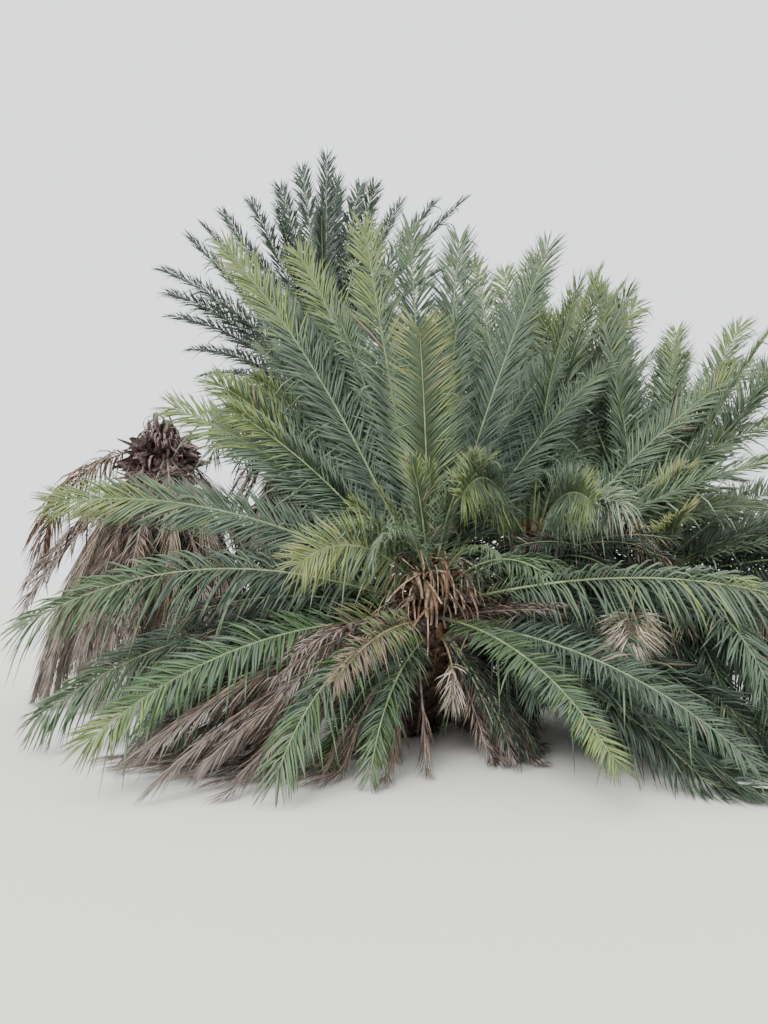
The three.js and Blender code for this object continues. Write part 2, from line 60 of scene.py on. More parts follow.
BODY = "root"
UP = np.array([0.0, 0.0, 1.0])
GOLDEN_TURN = math.radians(137.5)  # between one leaf base and the next, up the stem
TANGENT_STEP = 0.01  # up and down a stem, to find its direction
WOBBLE = (12.9898, 78.233, 43758.5453)  # factors of the repeatable random numbers
LEAF_SEED = 1000  # added to a frond's own seed for the random numbers of its leaflets

# The rule of growth, with the same values as the solids, here in metres and degrees.
FROND_STEPS = 32  # equal steps of a midrib
FROND_BEND = 1.4  # power of the length that the droop follows, where a fan gives no bend
FROND_SHARE = 6  # most fronds in one mesh of the solids, where a fan gives no share
GROUND_REST = 0.06  # lowest that a frond's midrib lies
JITTER = {"heading": 4.0, "rise": 3.0, "length": 0.05, "roll": 30.0}  # whole ranges
FLARE_HEIGHT = 0.5  # up to which a stem's root flare reaches
BULGE_SHARE = 0.2  # of the stem's height, over which it swells to the bud
SEAT_DEPTH = 0.02  # of a frond's start inside its bud
SEAT_SPACING = 0.11  # wanted between two seats
SEAT_PASSES = 60  # in which crowded seats are pushed apart
SEAT_REACH = 0.8  # of the bud's radius, at which a turn between seats is measured
SEAT_PUSH = 0.25  # of what is missing between two seats, moved in one pass
SEAT_LIMITS = (0.06, 0.96)  # of the bud's height from its top, between which seats stay
APART = 0.085  # wanted between the midribs of different meshes
TURN_STEP = 3.0  # from one try of a place to the next
TURN_STEPS = 5  # rings of tries
TURN_SIGNS = ((1, 0), (-1, 0), (0, 1), (0, -1), (1, 1), (-1, 1), (1, -1), (-1, -1))
FREE_STEPS = 7  # first steps of a frond, which may touch its own stem
STEM_LEVELS = 24  # stretches of a stem that a frond's midrib is measured from
BLADE_START = 5  # step at which the leaflets start
RIB_HALF_WIDTH = (0.021, 0.011, 0.0035)  # at the seat, at the blade's start and at the tip
RIB_DEPTH = (0.032, 0.018, 0.006)
LEAFLET_LENGTH = 0.42  # of the longest one on a full frond
LEAFLET_FULL_FROND = 2.6  # length from which a frond bears leaflets of full length
LEAFLET_PROFILE = {"least": 0.74, "start": 0.15, "run": 0.92}  # arch of the leaflets' lengths

PIECE_TRIANGLES = 180_000  # most in one piece, over which it is dealt out to several
LYING_LOW = 0.008  # lowest that a leaf on the ground lies
LYING_FROM = 0.05  # height under which leaves are laid down


def mix(a: float | Array, b: float | Array, t: float | Array) -> float | Array:
    """A value between a at t = 0 and b at t = 1: (1 - t) a + t b."""
    return (1 - t) * a + t * b


def along(value: Span, t: float) -> float:
    """A fan's value for one frond, as a pair runs from its first frond to its last."""
    return mix(value[0], value[1], t) if isinstance(value, tuple) else value


def unit(vectors: Array) -> Array:
    """The vectors at length 1."""
    return vectors / np.maximum(np.linalg.norm(vectors, axis=-1, keepdims=True), 1e-9)


def turned(vectors: Array, axes: Array, angles: float | Array) -> Array:
    """Vectors turned about unit axes: v cos a + (k x v) sin a + k (k . v)(1 - cos a).

    Args:
        vectors: The vectors, (..., 3).
        axes: Unit axes, (..., 3).
        angles: Angles in radians, (...).

    Returns:
        The turned vectors, (..., 3).
    """
    a = np.asarray(angles)[..., None]
    dot = np.sum(vectors * axes, axis=-1, keepdims=True)
    return vectors * np.cos(a) + np.cross(axes, vectors) * np.sin(a) + axes * dot * (1 - np.cos(a))


def level_units(turns: float | Array) -> Array:
    """Level unit vectors (cos, sin, 0) with headings in radians."""
    return np.stack([np.cos(turns), np.sin(turns), np.zeros_like(turns)], axis=-1)


def square_off(vectors: Array, axes: Array) -> Array:
    """Unit vectors at right angles to unit axes, v - k (k . v), made 1 long."""
    return unit(vectors - axes * np.sum(vectors * axes, axis=-1, keepdims=True))


def wobble(index: int, salt: int) -> float:
    """A repeatable number, from the digits of a large sine.

    Args:
        index: The frond's seed.
        salt: Number of the draw.

    Returns:
        A number from -0.5 to 0.5.
    """
    across, along_salt, size = WOBBLE
    value = math.sin(index * across + salt * along_salt) * size
    return value - math.floor(value) - 0.5


class Look(Enum):
    """The finishes that leaf, wood and fibre take, as plain colours dealt out by spray."""

    # the darkest green, which only the backlit, dim and shade kinds take: painted shade
    DEEP = "leaf_deep"
    SLATE = "leaf_slate"
    GREY = "leaf_grey"
    SAGE = "leaf_sage"
    FRESH = "leaf_fresh"
    LIME = "leaf_lime"
    GOLD = "leaf_gold"
    PALE = "leaf_pale"
    STRAW = "dry_straw"
    TAN = "dry_tan"
    ASH = "dry_ash"
    # dry leaf brown; also painted shade on the dark shade fronds and the straps round the buds
    UMBER = "dry_umber"
    RUST = "dry_rust"
    BLEACHED = "dry_bleached"
    RIB = "rib_green"
    RIB_OLD = "rib_old"
    RIB_DRY = "rib_dry"
    BARK = "bark"
    BOOT = "boot"
    SHEATH = "sheath"
    STRAP = "strap"
    HUSK = "husk"


@dataclass(frozen=True)
class Stem:
    """One leaning stem with its bud.

    The axis is (1 - k) foot + k crown with k = 1 - (1 - z / bud bottom) ^ curl, so a larger curl
    leaves the foot flatter and ends upright.
    """

    name: str
    foot: tuple[float, float]
    crown: tuple[float, float, float]
    curl: float
    flare: float
    neck: float
    bud_height: float
    bud_foot: float
    bud_top: float

    @property
    def bud_bottom(self) -> float:
        """Height at which the bud starts."""
        return self.crown[2] - self.bud_height / 2

    @property
    def top(self) -> float:
        """Height of the bud's top."""
        return self.crown[2] + self.bud_height / 2

    def axis(self, z: float | Array) -> Array:
        """The middle line.

        Args:
            z: Heights.

        Returns:
            The points at those heights, (..., 3).
        """
        z = np.asarray(z, float)
        k = 1 - (1 - np.clip(z / self.bud_bottom, 0, 1)) ** self.curl
        x = mix(self.foot[0], self.crown[0], k)
        y = mix(self.foot[1], self.crown[1], k)
        return np.stack([x, y, z], axis=-1)

    def radius(self, z: float | Array) -> Array:
        """The radius: neck, root flare, swelling to the bud, then the bud.

        Args:
            z: Heights.

        Returns:
            The radii at those heights.
        """
        z = np.asarray(z, float)
        swell = np.maximum(0, (z / self.bud_bottom - 1 + BULGE_SHARE) / BULGE_SHARE)
        flare = np.maximum(0, 1 - z / FLARE_HEIGHT) ** 2
        below = mix(self.neck, self.bud_foot, swell) + (self.flare - self.neck) * flare
        bud = mix(self.bud_foot, self.bud_top, (z - self.bud_bottom) / self.bud_height)
        return np.where(z >= self.bud_bottom, bud, below)

    def tangent(self, z: float | Array) -> Array:
        """Unit direction of the stem's line at heights z."""
        z = np.asarray(z, float)
        return unit(self.axis(z + TANGENT_STEP) - self.axis(z - TANGENT_STEP))

    def seat(self, depth: float, turn: float) -> Array:
        """Where a frond starts, a little inside the bud.

        Args:
            depth: Place down the bud, as a share of its height.
            turn: Heading in radians.

        Returns:
            The point.
        """
        z = self.crown[2] + self.bud_height * (0.5 - depth)
        return self.axis(z) + level_units(turn) * (self.radius(z) - SEAT_DEPTH)


STEMS = {
    "tall": Stem("tall", (0, 0), (-0.38, 0.95, 3.42), 1.15, 0.42, 0.22, 0.6, 0.2, 0.07),
    "middle": Stem("middle", (0.68, -0.29), (1.62, -0.7, 1.55), 1.4, 0.36, 0.18, 0.5, 0.18, 0.07),
    "front": Stem("front", (0.42, -0.86), (0.67, -1.7, 1.2), 1.6, 0.36, 0.19, 0.6, 0.2, 0.07),
    "right": Stem("right", (1.36, -0.38), (2.75, -0.6, 1.4), 1.25, 0.35, 0.17, 0.45, 0.17, 0.07),
    "rear": Stem("rear", (0.58, 0.36), (2.0, 1.25, 2.1), 1.6, 0.34, 0.18, 0.45, 0.17, 0.07),
    "dead": Stem("dead", (-0.64, 0.14), (-2.18, 0.72, 2.7), 3.0, 0.34, 0.19, 0.45, 0.22, 0.14),
}


@dataclass(frozen=True)
class Habit:
    """How the leaflets of a fan of fronds are set, shaped and coloured.

    Attributes:
        body: Looks of the leaflets, dealt out at random, the first ones nearer the bud.
        tip: Look of the leaflets towards the frond's end.
        tip_from: Share of the blade from which the tip look starts to be dealt.
        under: Look of the leaflets' undersides.
        sag: How far a leaflet's tip hangs, as a share of its length.
        width: Widest part of a leaflet.
        spacing: Distance between leaflets on one side.
        scatter: Random turn of each leaflet, in degrees.
        lifts: Turns out of the blade's plane, in degrees, taken in order along the midrib.
        twist: Random turn of a leaflet about its own line, in degrees.
        reach: Leaflet length as a share of the rule's.
        angles: Leaflets' turn from the midrib, at the blade's start and at its tip.
        rib: Look of the midrib.
        burnt: Share of leaflets with a dry look.
        stray: Share of leaflets that have gone limp and hang with a pale look.
        bare: Share of the blade, from its start, that has lost its leaflets.
    """

    body: tuple[Look, ...]
    tip: Look
    tip_from: float
    under: Look
    sag: float = 0.12
    width: float = 0.02
    spacing: float = 0.015
    scatter: float = 6.5
    lifts: tuple[float, ...] = (26.0, 4.0, 15.0)
    twist: float = 18.0
    reach: float = 1.06
    angles: tuple[float, float] = (46.0, 33.0)
    rib: Look = Look.RIB
    burnt: float = 0.004
    stray: float = 0.045
    bare: float = 0.0


class Kind(Enum):
    """The habits of leaf in this clump."""

    # The tall crown's fronds, dark as painted shade where the crown stands against the light.
    HIGH = Habit(
        (Look.DEEP, Look.SLATE, Look.DEEP), Look.SLATE, 0.9, Look.DEEP,
        spacing=0.017, width=0.021, angles=(42.0, 26.0), reach=0.9,
    )
    FULL = Habit((Look.SLATE, Look.GREY, Look.GREY), Look.SAGE, 0.8, Look.SAGE)
    # A lit copy of FULL: its extra sage leaflets and lime tips are painted light on the fronds facing
    # the light.
    SUNNY = Habit((Look.SLATE, Look.GREY, Look.GREY, Look.SAGE), Look.LIME, 0.7, Look.SAGE)
    OLIVE = Habit(
        (Look.SAGE, Look.SAGE, Look.LIME, Look.GREY), Look.GOLD, 0.78, Look.SAGE,
        spacing=0.008, width=0.015, angles=(38.0, 52.0), lifts=(8.0, -4.0, 3.0), scatter=4.0,
        reach=1.3, bare=0.1,
    )
    HAZY = Habit((Look.GREY, Look.SAGE, Look.SAGE), Look.LIME, 0.85, Look.PALE, sag=0.16)
    GOLDEN = Habit(
        (Look.SAGE, Look.LIME, Look.LIME), Look.GOLD, 0.6, Look.PALE,
        burnt=0.01, spacing=0.012, angles=(74.0, 40.0), lifts=(10.0, -4.0, 4.0), scatter=6.0,
        stray=0.05,
    )
    HOOK = Habit(
        (Look.SLATE, Look.GREY, Look.SAGE), Look.LIME, 0.76, Look.SAGE,
        sag=0.08, spacing=0.011, angles=(78.0, 46.0), lifts=(24.0, -10.0, 8.0), scatter=9.0,
        stray=0.06, bare=0.35,
    )
    LUSH = Habit(
        (Look.FRESH, Look.GREY, Look.FRESH), Look.LIME, 0.85, Look.SAGE,
        sag=0.2, width=0.025, spacing=0.016, lifts=(16.0, -6.0, 8.0), scatter=6.0,
        angles=(68.0, 42.0), stray=0.05, reach=0.95,
    )
    COMB = Habit(
        (Look.FRESH, Look.GREY, Look.FRESH), Look.LIME, 0.85, Look.SAGE,
        sag=0.12, width=0.026, spacing=0.014, lifts=(12.0, -6.0, 6.0), scatter=6.0,
        angles=(76.0, 50.0), stray=0.02, reach=0.74,
    )
    # Darker than LUSH and COMB, with grey tips: painted shade on a low frond.
    DUSK = Habit(
        (Look.SLATE, Look.GREY, Look.SLATE), Look.GREY, 0.75, Look.SAGE,
        sag=0.2, width=0.022, spacing=0.014, scatter=7.0, angles=(68.0, 44.0), burnt=0.02,
        stray=0.03, reach=0.78,
    )
    SPRAY = Habit(
        (Look.GREY, Look.SAGE, Look.LIME), Look.LIME, 0.8, Look.SAGE,
        sag=0.15, width=0.016, spacing=0.011, scatter=9.0, angles=(38.0, 20.0), burnt=0.05,
    )
    HANGING = Habit(
        (Look.SLATE, Look.GREY, Look.FRESH), Look.SAGE, 0.8, Look.SAGE,
        sag=0.5, width=0.022, spacing=0.02, scatter=8.0, twist=30.0, angles=(60.0, 34.0),
        stray=0.06,
    )
    RAIL = Habit(
        (Look.GREY, Look.SAGE, Look.GREY), Look.LIME, 0.7, Look.PALE,
        sag=0.8, width=0.022, spacing=0.024, scatter=6.0, twist=24.0, angles=(66.0, 40.0),
        lifts=(20.0, 34.0), stray=0.0, reach=0.85,
    )
    # Low fronds coloured darker, with deep green among them: painted shade under the crowns.
    DIM = Habit(
        (Look.SLATE, Look.DEEP, Look.GREY), Look.GREY, 0.7, Look.SAGE,
        sag=0.4, width=0.022, spacing=0.02, scatter=9.0, twist=30.0, angles=(56.0, 32.0),
        burnt=0.02,
    )
    TATTERED = Habit(
        (Look.GREY, Look.SAGE, Look.PALE), Look.STRAW, 0.5, Look.STRAW,
        sag=0.7, width=0.02, spacing=0.022, scatter=9.0, twist=40.0, angles=(70.0, 44.0),
        burnt=0.12,
    )
    # Dark fronds set into the gaps where the crowns lie in shadow: their deep green and umber are
    # painted shade.
    SHADE = Habit(
        (Look.DEEP, Look.DEEP, Look.SLATE, Look.UMBER), Look.SLATE, 0.8, Look.DEEP,
        sag=0.35, width=0.024, spacing=0.026, scatter=9.0, twist=40.0, burnt=0.06,
    )
    # Pale leaflets that bend over: partly their own pale colour, partly a painted highlight where they
    # bend.
    SILVER = Habit(
        (Look.SAGE, Look.PALE), Look.PALE, 0.8, Look.PALE,
        sag=0.5, scatter=9.0, twist=40.0, lifts=(10.0, -16.0, 20.0), angles=(72.0, 40.0),
    )
    YOUNG = Habit(
        (Look.LIME, Look.GOLD), Look.GOLD, 0.75, Look.SAGE,
        spacing=0.009, scatter=7.0, burnt=0.05, angles=(34.0, 18.0), sag=0.05,
    )
    BURNT = Habit(
        (Look.FRESH, Look.LIME, Look.TAN, Look.TAN), Look.TAN, 0.75, Look.STRAW,
        sag=0.2, scatter=8.0, twist=30.0, rib=Look.RIB_OLD, burnt=0.15, angles=(64.0, 34.0),
        spacing=0.017,
    )
    LITTER = Habit(
        (Look.ASH, Look.TAN, Look.UMBER, Look.ASH), Look.ASH, 0.8, Look.TAN,
        sag=0.3, width=0.012, scatter=7.0, twist=60.0, rib=Look.RIB_DRY, spacing=0.027,
        angles=(17.0, 8.0), stray=0.0, bare=0.35,
    )
    FRINGE = Habit(
        (Look.TAN, Look.RUST), Look.RUST, 0.7, Look.TAN,
        sag=0.9, width=0.022, scatter=8.0, twist=40.0, rib=Look.RIB_DRY, spacing=0.016,
        angles=(70.0, 40.0), stray=0.0,
    )
    HANG = Habit(
        (Look.ASH, Look.STRAW, Look.ASH, Look.TAN, Look.ASH), Look.ASH, 0.7, Look.ASH,
        sag=0.4, width=0.014, scatter=8.0, twist=70.0, rib=Look.RIB_DRY, spacing=0.022,
        angles=(18.0, 9.0), reach=1.25, stray=0.0,
    )
    SKIRT = Habit(
        (Look.UMBER, Look.TAN, Look.ASH), Look.ASH, 0.85, Look.UMBER,
        sag=0.4, width=0.022, scatter=14.0, twist=70.0, rib=Look.RIB_DRY, spacing=0.026,
        angles=(34.0, 22.0), stray=0.0,
    )
    BLEACHED = Habit(
        (Look.STRAW, Look.BLEACHED, Look.TAN), Look.BLEACHED, 0.7, Look.STRAW,
        sag=0.7, width=0.014, scatter=20.0, twist=60.0, rib=Look.RIB_OLD, spacing=0.008,
        angles=(70.0, 36.0), stray=0.0, bare=0.45,
    )
    HEART = Habit(
        (Look.UMBER, Look.TAN, Look.STRAW), Look.BLEACHED, 0.88, Look.BLEACHED,
        sag=0.35, width=0.015, scatter=15.0, twist=50.0, rib=Look.RIB_OLD, spacing=0.0035,
        angles=(120.0, 40.0), lifts=(70.0, 30.0, -20.0), stray=0.0, bare=0.8,
    )


@dataclass(frozen=True)
class Fan:
    """Fronds that leave one bud together.

    Angles are degrees: heading is the compass turn from +X towards +Y, rise the slope where the
    frond leaves the bud, droop how far it has bent down at its tip, and roll the turn of its blade
    about the midrib. A pair runs from the fan's first frond to its last, share is the most fronds
    that one mesh of the solids holds, and reach lengthens the leaflets of short fronds.
    """

    at: str
    name: str
    heading: Span
    rise: Span
    length: Span
    droop: Span
    roll: Span = 0.0
    count: int = 1
    share: int = FROND_SHARE
    bend: float = FROND_BEND
    dry: bool = False
    kind: Kind = Kind.FULL
    reach: float = 1.0

    def frond(self, i: int) -> "Frond":
        """One frond of the fan, before it is seated.

        Args:
            i: Its number in the fan, from 0.

        Returns:
            The frond.
        """
        t = i / (self.count - 1) if self.count > 1 else 0
        spans = (self.heading, self.rise, self.length, self.droop, self.roll)
        return Frond(self, *(along(span, t) for span in spans))


FANS = (
    Fan("front", "sail", 165, 67, 3.38, 16, -74, kind=Kind.SUNNY),
    Fan("front", "second", 150, 73, 3.2, 14, -66, kind=Kind.SUNNY),
    Fan("front", "mast", 180, 80, 2.72, -2, -80, kind=Kind.SUNNY),
    Fan("front", "paddle", -100, 84, 1.82, 20, kind=Kind.OLIVE, reach=1.3),
    Fan("front", "spear", 130, 87, 2.75, 2, -20),
    Fan("front", "tilt", (55, 15), (84, 72), (2.85, 3.0), 6, (10, 45), count=2),
    Fan("front", "lean", 34, 66, 2.85, 14, 45),
    Fan("front", "shoulder", 174, 47, 2.65, 26, -72, kind=Kind.SUNNY),
    Fan("front", "arm", -176, 30, 3.05, 38, -74, kind=Kind.SUNNY),
    Fan("front", "wing", -172, 18, 3.0, 52, -62, kind=Kind.HANGING),
    Fan("front", "skirt_left", -150, 1, 2.55, 42, -35, kind=Kind.LUSH),
    Fan("front", "under", -177, 2, 3.15, 40, -50, kind=Kind.HANGING),
    Fan("front", "skirt_right", -62, -4, 2.1, 44, 15, kind=Kind.COMB),
    Fan("front", "skirt_middle", -38, -4, 2.4, 36, 30, kind=Kind.DUSK),
    Fan("front", "trail", -126, -4, 1.9, 60, -20, kind=Kind.HANGING),
    Fan("front", "drop", -114, -14, 1.4, 60, kind=Kind.HANGING),
    Fan("front", "curl", -144, 44, 1.3, 84, -72, kind=Kind.GOLDEN, reach=1.8),
    Fan("front", "rail", -14, 14, 3.2, 40, 50, kind=Kind.RAIL),
    Fan("front", "low_rail", -10, -4, 2.7, 36, 40, kind=Kind.HANGING),
    Fan("front", "tan", -150, 2, 1.05, 62, -60, dry=True, kind=Kind.BURNT, reach=1.8),
    Fan("front", "back", (158, 44), (56, 60), (2.9, 3.1), 24, (-40, 40), count=6),
    Fan(
        "front", "litter", (-168, -84), (-14, -24), (2.1, 1.35), (40, 54),
        count=5, bend=0.6, dry=True, kind=Kind.LITTER,
    ),
    Fan(
        "tall", "left_low", (132, 170), (24, 52), (2.25, 2.5), 28, -40,
        count=6, share=3, kind=Kind.HIGH,
    ),
    Fan(
        "tall", "left_high", (196, 140), (52, 87), (2.15, 2.6), 10, -40,
        count=6, share=3, kind=Kind.HIGH,
    ),
    Fan(
        "tall", "right_high", (100, -5), (88, 62), (2.6, 2.6), (4, 20), (0, 45),
        count=6, share=3, kind=Kind.HIGH,
    ),
    Fan("tall", "back_low", (112, 10), (14, 30), 2.5, 36, count=6, share=3, kind=Kind.HIGH),
    Fan("tall", "back_high", (130, 30), (50, 56), 2.6, 26, count=4, kind=Kind.HIGH),
    Fan(
        "tall", "thatch", (190, 290), (-8, -12), (1.7, 1.9), 62,
        count=5, bend=0.5, dry=True, kind=Kind.LITTER,
    ),
    Fan(
        "dead", "hang_left", (145, 220), (-32, -34), (2.6, 2.7), 46,
        count=5, bend=0.35, dry=True, kind=Kind.HANG,
    ),
    Fan(
        "dead", "hang_front", (236, 376), (-26, -16), (2.55, 1.9), (56, 46),
        count=6, bend=0.35, dry=True, kind=Kind.HANG,
    ),
    Fan(
        "dead", "hang_back", (45, 120), -12, 2.5, 58,
        count=3, bend=0.35, dry=True, kind=Kind.HANG,
    ),
    Fan("dead", "limp", 188, -12, 1.75, 78, bend=1.3, dry=True, kind=Kind.FRINGE, reach=1.5),
    Fan(
        "middle", "hooks", (-134, -118), (54, 62), (1.3, 1.2), (76, 88), (-70, -60),
        count=2, kind=Kind.GOLDEN, reach=1.8,
    ),
    Fan("middle", "silver", -64, 54, 1.3, 74, 65, kind=Kind.SILVER, reach=1.7),
    Fan("middle", "crook", 150, 88, 2.0, 80, -30, kind=Kind.SUNNY),
    Fan("middle", "up_front", -50, 82, 2.3, 24, kind=Kind.SUNNY),
    Fan(
        "middle", "up", (120, 30), (86, 68), (3.2, 2.85), (8, 18), (-30, 40),
        count=5, share=3, kind=Kind.HAZY,
    ),
    Fan(
        "middle", "right_fan", (8, -24), (50, 34), (2.9, 2.3), (20, 26), 45,
        count=3, kind=Kind.HAZY,
    ),
    Fan("middle", "back", (160, 40), (46, 36), 2.8, 30, count=4),
    Fan("middle", "skirt", (-128, -40), -6, (1.7, 2.0), 52, count=4, kind=Kind.DIM),
    Fan("right", "young", -70, 72, 0.85, 24, kind=Kind.YOUNG, reach=3.0),
    Fan(
        "right", "up", (150, -10), (84, 64), (2.65, 2.7), (8, 16), (-30, 40),
        count=6, share=3, kind=Kind.HAZY,
    ),
    Fan("right", "side", (-24, 24), (14, 38), 2.6, 40, 40, count=3, kind=Kind.HAZY),
    Fan(
        "right", "skirt", (-168, -36), (0, 6), (2.0, 2.4), 50, (-30, 30),
        count=6, kind=Kind.DIM,
    ),
    Fan(
        "right", "litter", (-150, -60), -22, (1.5, 1.7), 52,
        count=4, bend=0.6, dry=True, kind=Kind.LITTER,
    ),
    Fan("right", "back", (30, 98), (20, 30), 2.5, 34, count=3, kind=Kind.HAZY),
    Fan("rear", "up", (0, 190), (78, 66), 2.9, 16, count=6, kind=Kind.HAZY),
    Fan("rear", "back", (10, 140), (24, 34), 2.8, 30, count=4),
)
